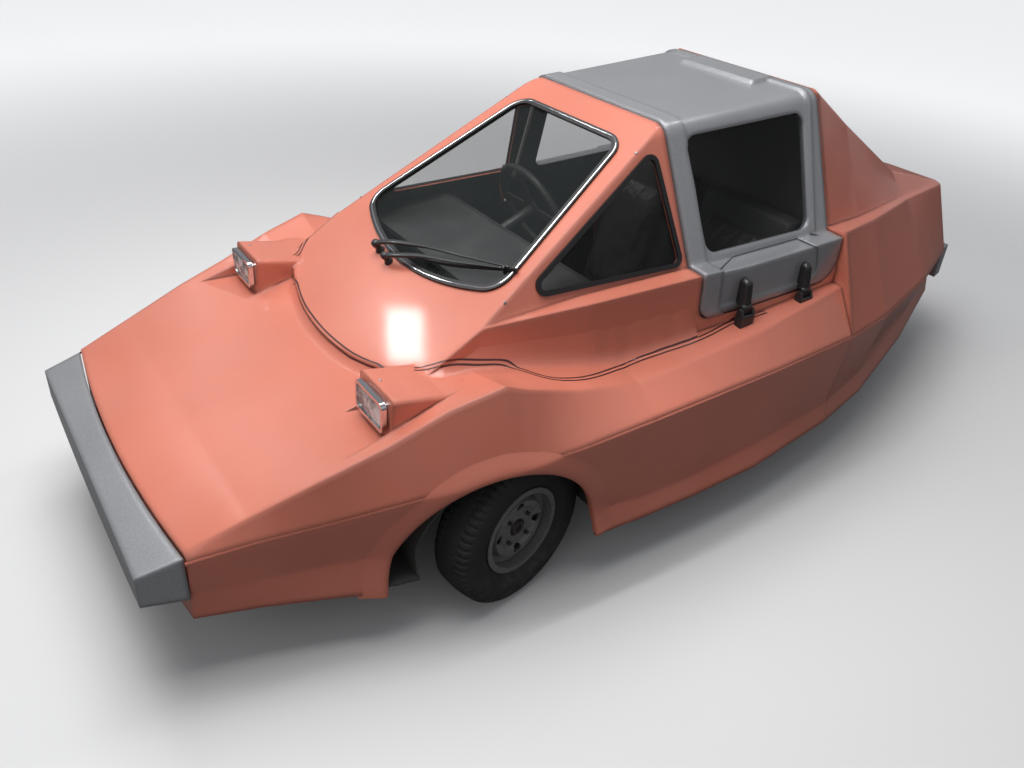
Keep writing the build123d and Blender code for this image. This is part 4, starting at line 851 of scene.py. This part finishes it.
# The body's side, nose to tail, as in the solids: station, then wing, waist, crease and hem, each as its half
# width and height.
SIDE_SECTIONS = np.array([
    (-0.900, 0.538, 0.448, 0.560, 0.436, 0.536, 0.318, 0.526, 0.232),
    (-0.705, 0.571, 0.520, 0.598, 0.457, 0.575, 0.318, 0.575, 0.222),
    (-0.511, 0.605, 0.591, 0.638, 0.468, 0.612, 0.312, 0.632, 0.206),
    (-0.360, 0.625, 0.640, 0.680, 0.489, 0.652, 0.305, 0.682, 0.194),
    (-0.197, 0.642, 0.705, 0.715, 0.505, 0.690, 0.300, 0.712, 0.188),
    (-0.044, 0.667, 0.746, 0.742, 0.520, 0.715, 0.290, 0.732, 0.184),
    (0.024, 0.677, 0.721, 0.752, 0.527, 0.722, 0.285, 0.740, 0.182),
    (0.185, 0.668, 0.665, 0.768, 0.540, 0.732, 0.270, 0.754, 0.180),
    (0.430, 0.660, 0.612, 0.772, 0.552, 0.738, 0.240, 0.765, 0.180),
    (0.650, 0.655, 0.622, 0.766, 0.555, 0.738, 0.240, 0.766, 0.180),
    (0.940, 0.660, 0.656, 0.752, 0.554, 0.725, 0.250, 0.755, 0.180),
    (1.365, 0.600, 0.800, 0.713, 0.547, 0.680, 0.262, 0.698, 0.190),
    (1.650, 0.490, 0.850, 0.648, 0.530, 0.608, 0.272, 0.632, 0.200),
    (2.150, 0.300, 0.786, 0.478, 0.500, 0.425, 0.292, 0.450, 0.220),
    (2.617, 0.157, 0.734, 0.273, 0.462, 0.233, 0.320, 0.247, 0.250)])
# The wheel arch as a half ellipse, the width of its rolled edge and the play that keeps it clear of the cut.
ARCH_STATION, ARCH_HEIGHT, ARCH_LENGTH, ARCH_RISE = -0.070, 0.180, 0.324, 0.330
ARCH_ROLL, ARCH_PLAY = 0.014, 0.0005


def sections_at(station, columns):
    return np.stack([np.interp(station, SIDE_SECTIONS[:, 0], SIDE_SECTIONS[:, k]) for k in columns], axis=-1)


def side_at(station, height):
    """The side's half width: each section's corners run straight to the next one's, and its profile is
    straight between them, so the width is a straight share first along the car and then up the profile."""
    rows = sections_at(station, range(1, 9))
    width = rows[..., 6]
    for low in (6, 4, 2):
        foot, head = rows[..., low], rows[..., low - 2]
        share = (height - rows[..., low + 1]) / (rows[..., low - 1] - rows[..., low + 1])
        width = np.where(share > 0, foot + np.minimum(share, 1) * (head - foot), width)
    return width


def softened(values, passes):
    """A grid of numbers, each replaced in every pass by the mean of its neighbours and twice itself."""
    for _ in range(passes):
        padded = np.pad(values, 1, mode="edge")
        beside = padded[1:-1, :-2] + padded[1:-1, 2:]
        values = (beside + padded[:-2, 1:-1] + padded[2:, 1:-1] + 2 * values) / 6
    return values


class CAR_OT_arches(bpy.types.Operator):
    """Rolled edges of the wheel arches, flowing into the body's side"""
    bl_idname = "car.arches"
    bl_label = "Arch edges"

    def execute(self, context):
        """Rows follow the arch's ellipse and columns go outward from it. The edge turns in at the cut, stands
        proud over the roll's width and falls by an S curve to just under the evened side at its reach."""
        look = context.scene.car_body
        reach = look.arch_reach
        out = np.concatenate([[0.0, 0.0, 0.0004, 0.002, 0.0045], np.linspace(0.008, reach, 26)])
        stand = look.arch_proud * (1 - smooth_step((out - ARCH_ROLL) / (reach - ARCH_ROLL)))
        stand -= 0.0015 * (out / reach) ** 4
        stand[:5] = (-0.012, 0.0, 0.0040, 0.0070, look.arch_proud - 0.0004)
        angle = np.radians(np.linspace(1.6, 178.4, 181))[:, None]
        station = ARCH_STATION - np.cos(angle) * (ARCH_LENGTH - ARCH_PLAY + out)
        height = ARCH_HEIGHT + np.sin(angle) * (ARCH_RISE - ARCH_PLAY + out)
        side = side_at(station, height)
        side += (np.maximum(side, softened(side, 30)) - side) * (1 - smooth_step(out / reach)) + stand
        piece = stacked("arch_edges", [
            sheet(np.stack([sign * side, station + FRONT_AXLE_Y, height], axis=-1), flip=sign > 0)
            for sign in SIDES.values()])
        finish_piece(piece, "chassis", "salmon_gloss")
        return {"FINISHED"}


# The foot of the cabin's wall as station and half width, and the dome's round front edge on the bonnet. The
# pods behind the lamps, whose own shape is kept, lie outside a half width and ahead of a station.
WALL_FOOT = np.array([(-0.320, 0.440), (-0.004, 0.474), (0.330, 0.528), (0.705, 0.553)])
DOME_FRONT, DOME_ROUND = -0.265, 1.1224
POD_INNER, POD_BACK = 0.345, -0.205
COVE_IN, COVE_OUT, COVE_BACK = -0.028, 0.060, 0.744     # reach in and out from the foot, and rear end
COVE_SINK = 0.0007          # how far the evened heights lie below the body where it is flat
NO_BODY, SPARE_HEIGHT = 1.4, 0.6        # above this a point met no body, and takes the second height


def laid(piece, target):
    """Drops a piece's points straight down onto a target and gives the new places back."""
    wrap = piece.modifiers.new("lay", "SHRINKWRAP")
    wrap.target = target
    wrap.wrap_method = "PROJECT"
    wrap.use_project_z = True
    wrap.use_negative_direction = True
    wrap.use_positive_direction = False
    return places_of(applied(piece).data)


class CAR_OT_cove(bpy.types.Operator):
    """Soft cove where the dome and the cabin's walls meet the bonnet and the ledges"""
    bl_idname = "car.cove"
    bl_label = "Foot of the cabin"

    def execute(self, context):
        """The body's heights over a plan grid, evened out a number of times: that lies above the body in its
        hollow corners and below it elsewhere, so only the corners show it. Kept near the wall's foot."""
        look = context.scene.car_body
        x, station = np.meshgrid(np.arange(-0.62, 0.6201, look.cove_pitch),
                                 np.arange(-0.36, 0.7601, look.cove_pitch), indexing="ij")
        flat = stacked("plan", [sheet(np.stack([x, station + FRONT_AXLE_Y, np.full(x.shape, 1.5)], axis=-1))])
        height = laid(flat, NODES["upper_body"])[:, 2].reshape(x.shape)
        bpy.data.objects.remove(flat)
        height = softened(np.where(height > NO_BODY, SPARE_HEIGHT, height), look.cove_passes) - COVE_SINK
        beside = np.abs(x) - np.interp(station, WALL_FOOT[:, 0], WALL_FOOT[:, 1])
        ahead = DOME_FRONT + DOME_ROUND - np.sqrt(DOME_ROUND ** 2 - x ** 2) - station
        off = np.maximum(beside, ahead)
        pod = (station < POD_BACK) & (np.abs(x) > POD_INNER)
        kept = (off > COVE_IN) & (off < COVE_OUT) & (station < COVE_BACK) & ~pod
        quads = np.array(grid_faces(*x.shape))
        quads = quads[kept.ravel()[quads].all(axis=1)]
        used, quads = np.unique(quads, return_inverse=True)
        points = np.stack([x, station + FRONT_AXLE_Y, height], axis=-1).reshape(-1, 3)[used]
        piece = mesh_piece("foot_cove", points, quads.reshape(-1, 4)[:, ::-1])
        finish_piece(piece, "chassis", "salmon_gloss")
        return {"FINISHED"}


JOINT_START, JOINT_SHORT = -0.868, 0.006        # from the bumper to just short of the tail


class CAR_OT_waist(bpy.types.Operator):
    """Filled and painted joint between the body's two mouldings, along the waist"""
    bl_idname = "car.waist"
    bl_label = "Waist joint"

    def execute(self, context):
        """Rows follow the waist's fold and columns cross it: shares of half the joint's width up the wing and
        down the side, each standing off its own face by a little more the nearer it lies to the fold."""
        reach = context.scene.car_body.joint_width / 2
        station = np.linspace(JOINT_START, SIDE_SECTIONS[-1, 0] - JOINT_SHORT, 320)
        row = sections_at(station, range(1, 7))
        above, fold, below = row[:, 0:2], row[:, 2:4], row[:, 4:6]
        up, down = unit(above - fold), unit(below - fold)
        out_up, out_down = np.stack([up[:, 1], -up[:, 0]], 1), np.stack([-down[:, 1], down[:, 0]], 1)
        shares = np.array([1.0, 0.6, 0.25])
        lines = [fold + up * reach * k + out_up * 0.0005 * (1.3 - k) for k in shares]
        lines += [fold + unit(out_up + out_down) * 0.0006]
        lines += [fold + down * reach * k + out_down * 0.0005 * (1.3 - k) for k in shares[::-1]]
        half_width, height = np.moveaxis(np.stack(lines, axis=1), -1, 0)
        half_width = np.minimum(half_width, CAD_BOX[1][0])
        y = np.broadcast_to((station + FRONT_AXLE_Y)[:, None], height.shape)
        piece = stacked("waist_joint", [
            sheet(np.stack([sign * half_width, y, height], axis=-1), flip=sign < 0)
            for sign in SIDES.values()])
        finish_piece(piece, "chassis", "salmon_gloss")
        return {"FINISHED"}


# Small screws in the body: place in metres and the way each looks out. Their head is a dome with a hollow.
SCREWS = [((0.4521, -1.1536, 0.7234), (0.0, 0.16, 0.99)), ((-0.5240, -1.1472, 0.7223), (0.0, 0.16, 0.99)),
          ((0.4488, -0.7703, 0.8571), (0.92, -0.05, 0.38)),
          ((-0.4488, -0.7703, 0.8571), (-0.92, -0.05, 0.38)),
          ((0.3398, -0.2612, 1.1793), (0.0, -0.53, 0.85)),
          ((-0.3398, -0.2612, 1.1793), (0.0, -0.53, 0.85))]
SCREW_HEAD = [(-0.001, 0.0), (-0.001, 0.0046), (0.0008, 0.0046), (0.0017, 0.0036), (0.0020, 0.0020),
              (0.0012, 0.0014), (0.0012, 0.0)]


class CAR_OT_screws(bpy.types.Operator):
    """Domed screw heads with a hollow in the middle, let into the body"""
    bl_idname = "car.screws"
    bl_label = "Body screws"

    def execute(self, context):
        heads = [sheet(turned(SCREW_HEAD, 20, place, outward), wrap_rows=True) for place, outward in SCREWS]
        finish_piece(outward_faces(stacked("body_screws", heads)), "chassis", "plain_steel")
        return {"FINISHED"}


# The wiper's lines over the glass: across, up the slope, and height above the glass.
DRIVE_ARM = [(-0.050, -0.134, 0.033), (-0.010, -0.116, 0.036), (0.075, -0.068, 0.033), (0.200, -0.016, 0.026),
             (0.352, 0.052, 0.021)]
GUIDE_ARM = [(-0.128, -0.122, 0.036), (-0.062, -0.088, 0.041), (0.060, -0.036, 0.036), (0.200, 0.010, 0.028),
             (0.372, 0.066, 0.021)]
BLADE = [(0.080, -0.062, 0.0), (0.200, -0.018, 0.0), (0.395, 0.076, 0.0)]
# The blade's rubber, spine and holder as lower and upper height and half width, then the two spindles and the
# pin at the arms' end as across, up the slope, height and radius.
BLADE_LAYERS = [(0.0045, 0.0100, 0.0014), (0.0100, 0.0125, 0.0045), (0.0125, 0.0180, 0.0022)]
WIPER_POSTS = [(-0.050, -0.134, 0.040, 0.0115), (-0.128, -0.122, 0.043, 0.0125),
               (0.356, 0.055, 0.024, 0.0065)]


class CAR_OT_wiper(bpy.types.Operator):
    """Wiper with a drive arm and a guide arm side by side, parked at the foot of the glass"""
    bl_idname = "car.wiper"
    bl_label = "Wiper"

    def execute(self, context):
        """Arms are flattened round sections that taper along their line, the blade's layers are boxes carried
        along its line, and the posts are turned round the glass's outward direction."""
        sheets = []
        rim = circle(1.0, 16)
        rim = np.sign(rim) * np.abs(rim) ** 0.6
        taper = np.interp(np.linspace(0, 1, 60), [0, 0.04, 0.30, 0.42, 1], [0.75, 1.15, 1.0, 0.55, 0.42])
        for table, halves in ((DRIVE_ARM, (0.0085, 0.0045)), (GUIDE_ARM, (0.0080, 0.0050))):
            path = on_screen(lines_through(table, len(taper)))
            offset = sweep(path, rim * halves, OFF_GLASS) - path[:, None]
            arm = path[:, None] + offset * taper[:, None, None]
            sheets.append(sheet(arm, wrap_columns=True, further=end_faces(*arm.shape[:2])))
        line = lines_through(BLADE, 70)
        for low, high, half_width in BLADE_LAYERS:
            path = on_screen(line + (0.0, 0.0, (low + high) / 2))
            rim = np.array([(-1, -0.5), (1, -0.5), (1, 0.5), (-1, 0.5)]) * (half_width, high - low)
            layer = sweep(path, rim, OFF_GLASS)
            sheets.append(sheet(layer, wrap_columns=True, further=end_faces(*layer.shape[:2])))
        for across, along, tall, wide in WIPER_POSTS:
            post = [(0.0, 0.0), (0.0, wide * 1.25), (0.006, wide * 1.2), (0.009, wide * 0.85),
                    (tall * 0.55, wide * 0.85), (tall * 0.62, wide * 1.05), (tall * 0.92, wide),
                    (tall, wide * 0.7), (tall + 0.001, 0.0)]
            sheets.append(sheet(turned(post, 28, on_screen((across, along, 0.0)), OFF_GLASS), wrap_rows=True))
        piece = outward_faces(stacked("twin_arm_wiper", sheets))
        finish_piece(piece, "chassis", "black_enamel")
        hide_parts("wiper")
        return {"FINISHED"}


# The canopy's hinges: the pin's half width and height, their middles along the car, the strap's, barrel's and
# tongue's sizes, and a plinth's ends across from the pin, along from the strap's middle, and in height.
HINGE_PIN, HINGE_PLACES = (0.600, 0.708), (0.0565, 0.3355)
STRAP_BACK, STRAP_WIDTH, STRAP_FOOT, STRAP_TOP = 0.568, 0.034, 0.726, 0.812
BARREL_RADIUS, BARREL_EDGE, TONGUE_HALF = 0.0089, 0.0080, 0.0085
PLINTH_WIDE, PLINTH_LONG, PLINTH_TALL = (-0.0125, 0.0165), (-0.0295, 0.0295), (0.642, 0.6965)
PLINTH_EDGE = 0.003


class CAR_OT_hinges(bpy.types.Operator):
    """Crowned black hinge straps with their barrels on the canopy's side, and the plinths under them"""
    bl_idname = "car.hinges"
    bl_label = "Hinge straps"

    def execute(self, context):
        """A strap stands off its back by a crown that is full over the middle and rolls off by the sixth
        power at its sides and its top. Its half width closes as a half circle towards the top."""
        pin_x, pin_z = HINGE_PIN
        rows, columns = 33, 49
        u = np.linspace(-1, 1, rows)[:, None]
        v = np.linspace(0, 1, columns)[None, :]
        round_from = 1 - STRAP_WIDTH / 2 / (STRAP_TOP - STRAP_FOOT)
        half = STRAP_WIDTH / 2 * np.sqrt(1 - np.clip((v - round_from) / (1 - round_from), 0, 1) ** 2)
        face = np.interp(v, [0, 0.12, 1], [pin_x + 0.0085, pin_x + 0.0080, pin_x - 0.0030])
        crown = (1 - np.abs(u) ** 6) ** 0.5 * (1 - np.clip((v - 0.55) / 0.45, 0, 1) ** 6) ** 0.5
        last = (rows - 1) * columns
        foot_and_back = [list(range(0, last + columns, columns)),
                         list(range(columns)) + list(range(last, last + columns - 1))[::-1]]
        sheets, plinths = [], []
        for place in HINGE_PLACES:
            strap = np.stack([STRAP_BACK + (face - STRAP_BACK) * crown, place + u * half,
                              STRAP_FOOT + v * (STRAP_TOP - STRAP_FOOT) * np.ones_like(u)], axis=-1)
            barrel = [(0.0, 0.0), (0.0, BARREL_EDGE), (0.001, BARREL_RADIUS),
                      (STRAP_WIDTH - 0.001, BARREL_RADIUS), (STRAP_WIDTH, BARREL_EDGE), (STRAP_WIDTH, 0.0)]
            ends = np.array([place - STRAP_WIDTH / 2, place + STRAP_WIDTH / 2])
            sheets += [sheet(strap, further=foot_and_back),
                       sheet(turned(barrel, 32, (pin_x, ends[0], pin_z), (0, 1, 0)), wrap_rows=True),
                       box_sheet((pin_x - TONGUE_HALF, pin_x + TONGUE_HALF), ends,
                                 (pin_z, STRAP_FOOT + 0.004))]
            plinths.append(box_sheet(np.add(pin_x, PLINTH_WIDE), np.add(place, PLINTH_LONG), PLINTH_TALL))
        piece = outward_faces(stacked("hinge_covers", sheets))
        finish_piece(piece, "canopy", "black_enamel")
        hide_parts("hinge_straps")
        blocks = stacked("hinge_plinths", plinths, smooth=False)
        edge = blocks.modifiers.new("edge", "BEVEL")
        edge.width, edge.segments = PLINTH_EDGE, 3
        finish_piece(outward_faces(applied(blocks)), "chassis", "black_enamel")
        return {"FINISHED"}


# The front dampers' foot and head as half width and height, and the rear ones' half width and how far their
# ends lie inside their solid's box. Then the coils' number, wire and radius, and where they start and end.
FRONT_FOOT, FRONT_HEAD = (0.455, 0.1864), (0.360, 0.4877)
REAR_HALF, REAR_IN, REAR_UP = 0.112, 0.025, 0.012
COILS, WIRE_RADIUS, COIL_RADIUS, COIL_FROM, COIL_TO, COIL_GAP = 7, 0.0042, 0.0195, 0.058, 0.81, 0.004


def damper_ends():
    """The foot and head of each damper, front and rear."""
    low, high = (np.array(v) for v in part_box("rear_dampers"))
    front = [(FRONT_FOOT[0], FRONT_AXLE_Y, FRONT_FOOT[1]), (FRONT_HEAD[0], FRONT_AXLE_Y, FRONT_HEAD[1])]
    rear = [(REAR_HALF, high[1] - REAR_IN, low[2] + REAR_UP),
            (REAR_HALF, low[1] + REAR_IN, high[2] - REAR_UP)]
    return {name: [np.array(ends) * (sign, 1.0, 1.0) for sign in SIDES.values()]
            for name, ends in (("front", front), ("rear", rear))}


class CAR_OT_springs(bpy.types.Operator):
    """Coil springs over dampers in place of the plain struts"""
    bl_idname = "car.springs"
    bl_label = "Springs and dampers"

    def execute(self, context):
        """A damper is turned round the line from foot to head, its upper part by shares of that length. The
        wire's section is carried along a helix round the same line."""
        for name, ends in damper_ends().items():
            sheets = []
            for foot, head in ends:
                length = np.linalg.norm(head - foot)
                along = (head - foot) / length
                body = [(0.0, 0.0), (0.0, 0.009), (0.012, 0.011), (0.03, 0.014), (0.05, 0.016),
                        (0.052, 0.0235), (0.056, 0.0235), (0.057, 0.016), (length * 0.55, 0.016),
                        (length * 0.56, 0.008),
                        (length * 0.80, 0.008), (length * 0.81, 0.0235), (length * 0.83, 0.0235),
                        (length * 0.84, 0.010), (length, 0.009), (length, 0.0)]
                aside = unit(np.cross(along, (0.0, 1.0, 0.0)))
                turn = np.linspace(0, COILS * 2 * np.pi, 224)[:, None]
                rise = np.linspace(COIL_FROM + COIL_GAP, length * COIL_TO - COIL_GAP, 224)[:, None]
                round_line = np.cos(turn) * aside + np.sin(turn) * np.cross(along, aside)
                wire = sweep(foot + rise * along + COIL_RADIUS * round_line, circle(WIRE_RADIUS, 10), along)
                sheets += [sheet(turned(body, 28, foot, along), wrap_rows=True),
                           sheet(wire, wrap_columns=True, further=end_faces(*wire.shape[:2]))]
            piece = outward_faces(stacked(f"{name}_springs", sheets))
            finish_piece(piece, "chassis", "spring_enamel")
            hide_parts(f"{name}_dampers")
        return {"FINISHED"}


# Pads: the share by which the sides pull in, the channels' depth and the share by which the crown falls, then
# the cloth solver's mesh, pressure and frames.
SIDE_PULL, CHANNEL_DEPTH, CROWN_FALL = 0.04, 0.006, 0.1225
PAD_MESH, PAD_PRESSURE, PAD_FRAMES = 0.008, 4.0, 20


def pillow(name, centre, size, lean):
    """Closed crowned form. A sphere's directions are pushed out to a rounded box by the fifth power norm,
    the top is lowered along five sewn channels and the sides pull in between the corners."""
    a = np.linspace(0, 2 * np.pi, 96, endpoint=False)[:, None]
    b = np.linspace(-np.pi / 2, np.pi / 2, 49)[None, :]
    d = np.stack([np.cos(a) * np.cos(b), np.sin(a) * np.cos(b), np.sin(b) * np.ones_like(a)], axis=-1)
    form = d / np.sum(np.abs(d) ** 5.0, axis=-1, keepdims=True) ** (1 / 5.0)
    u, v, top = form[..., 0].copy(), form[..., 1].copy(), form[..., 2] > 0.1
    channels = CHANNEL_DEPTH * np.exp(-((u * 5 / 2 % 1 - 0.5) / 0.10) ** 2) * top
    form[..., 0] *= 1 - SIDE_PULL * (1 - v ** 2)
    form[..., 1] *= 1 - SIDE_PULL * (1 - u ** 2)
    form[..., 2] *= 1 - CROWN_FALL * (1 - (1 - u ** 2) * (1 - v ** 2))
    form *= np.asarray(size) / 2
    form[..., 2] -= channels
    piece = stacked(name, [sheet(form, wrap_rows=True)])
    piece.data.transform(Matrix.Translation(centre) @ Matrix.Rotation(lean, 4, "X"))
    weld = piece.modifiers.new("weld", "WELD")
    weld.merge_threshold = 0.0005
    return applied(piece)


def puffed(piece, swell):
    """Blows a cushion up a little with the cloth solver, each point moved no further than swell."""
    remesh = piece.modifiers.new("remesh", "REMESH")
    remesh.mode = "VOXEL"
    remesh.voxel_size = PAD_MESH
    before = places_of(applied(piece).data)
    cloth = piece.modifiers.new("cloth", "CLOTH")
    cloth.settings.use_pressure = True
    cloth.settings.uniform_pressure_force = PAD_PRESSURE
    cloth.settings.effector_weights.gravity = 0.0
    cloth.settings.quality = 4
    cloth.point_cache.frame_start, cloth.point_cache.frame_end = 1, PAD_FRAMES
    scene = bpy.context.scene
    for step in range(1, PAD_FRAMES + 1):
        scene.frame_set(step)
    move = places_of(piece.evaluated_get(bpy.context.evaluated_depsgraph_get()).data) - before
    piece.modifiers.clear()
    far = np.maximum(np.linalg.norm(move, axis=1, keepdims=True), 1e-9)
    piece.data.vertices.foreach_set("co", (before + move * np.minimum(1, swell / far)).ravel())
    piece.data.polygons.foreach_set("use_smooth", np.ones(len(piece.data.polygons), bool))
    piece.data.update()
    scene.frame_set(1)


# The seat shell's side outline as place along and height, from the seat solid's front foot, and its middle.
SHELL_OUTLINE = [(0.00, 0.010), (0.00, 0.130), (0.030, 0.150), (0.18, 0.110), (0.31, 0.105), (0.335, 0.150),
                 (0.385, 0.370), (0.445, 0.640), (0.470, 0.672), (0.520, 0.668), (0.535, 0.640),
                 (0.475, 0.350), (0.425, 0.060), (0.41, 0.004), (0.20, 0.002), (0.02, 0.002)]
SHELL_MIDDLE, SHELL_BACK = 0.2675, 0.42


def seat_shell(name, low, high):
    """An L shaped side outline carried across the seat, its edges raised at both sides as a bolster."""
    along, up = lines_through(SHELL_OUTLINE, 150, closed=True).T[:, None]
    share = np.linspace(-1, 1, 41)[:, None]
    side = np.abs(share)
    y = low[1] + 0.005 + SHELL_MIDDLE + (along - SHELL_MIDDLE) * (1 - 0.03 * side ** 12)
    lift = 0.030 * side ** 6 * np.clip((up - 0.09) / 0.1, 0, 1) * (along < SHELL_BACK)
    z = low[2] + up * (1 - 0.004 * side ** 12) + np.minimum(lift, 0.012)
    x = (low[0] + high[0]) / 2 + share * (high[0] - low[0]) / 2 * np.ones_like(y)
    surface = np.stack([x, y, z], axis=-1)
    return stacked(name, [sheet(surface, wrap_columns=True, flip=True, further=end_faces(*x.shape))])


class CAR_OT_seats(bpy.types.Operator):
    """Two bucket seats, each a shell with a sat-on cushion and a back pad"""
    bl_idname = "car.seats"
    bl_label = "Seats"

    def execute(self, context):
        look = context.scene.car_seats
        for side in SIDES:
            low, high = (np.array(v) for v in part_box(f"{side}_seat"))
            middle, width = (low[0] + high[0]) / 2, high[0] - low[0]
            shell = seat_shell(f"{side}_seat_shell", low, high)
            finish_piece(shell, "chassis", "black_plastic")
            cushion = pillow(f"{side}_cushion", (middle, low[1] + 0.185, low[2] + 0.105),
                             (width - 0.05, 0.34, 0.085), math.radians(-7))
            back = pillow(f"{side}_back_pad", (middle, low[1] + 0.365, low[2] + 0.385),
                          (width - 0.06, 0.50, 0.075), math.radians(75))
            for pad in (cushion, back):
                puffed(pad, look.swell)
                smooth = pad.modifiers.new("smooth", "SUBSURF")
                smooth.levels = smooth.render_levels = 1
                finish_piece(applied(pad), "chassis", "seat_vinyl")
            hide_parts(f"{side}_seat")
        return {"FINISHED"}


# The panel, and running it all.

CLASSES = (PaintSettings, BodySettings, TyreSettings, SeatSettings, StageSettings, CAR_OT_stage, CAR_OT_paint,
           CAR_OT_arches, CAR_OT_cove, CAR_OT_waist, CAR_OT_screws, CAR_OT_tyres, CAR_OT_screen_trim,
           CAR_OT_stripes, CAR_OT_lamps, CAR_OT_wiper, CAR_OT_hinges, CAR_OT_springs, CAR_OT_seats)
SETTINGS = {"car_paint": PaintSettings, "car_body": BodySettings, "car_tyres": TyreSettings,
            "car_seats": SeatSettings, "car_stage": StageSettings}


class CAR_PT_panel(bpy.types.Panel):
    """Sizes, colours and steps of the car's dressing"""
    bl_idname = "CAR_PT_panel"
    bl_label = "Three wheeled car"
    bl_space_type = "VIEW_3D"
    bl_region_type = "UI"
    bl_category = "Car"

    def draw(self, context):
        for label, kind in SETTINGS.items():
            box = self.layout.box()
            for prop in kind.__annotations__:
                box.prop(getattr(context.scene, label), prop)
        for kind in CLASSES:
            if issubclass(kind, bpy.types.Operator):
                self.layout.operator(kind.bl_idname)


def register():
    for kind in (*CLASSES, CAR_PT_panel):
        bpy.utils.register_class(kind)
    for label, kind in SETTINGS.items():
        setattr(bpy.types.Scene, label, PointerProperty(type=kind))


def unregister():
    for label in SETTINGS:
        delattr(bpy.types.Scene, label)
    for kind in reversed((*CLASSES, CAR_PT_panel)):
        bpy.utils.unregister_class(kind)


def main():
    register()
    bpy.ops.car.stage()
    bpy.ops.car.paint()
    bpy.ops.car.arches()
    bpy.ops.car.cove()
    bpy.ops.car.waist()
    bpy.ops.car.screws()
    bpy.ops.car.tyres()
    bpy.ops.car.screen_trim()
    bpy.ops.car.stripes()
    bpy.ops.car.lamps()
    bpy.ops.car.wiper()
    bpy.ops.car.hinges()
    bpy.ops.car.springs()
    bpy.ops.car.seats()


if __name__ == "__main__":
    main()
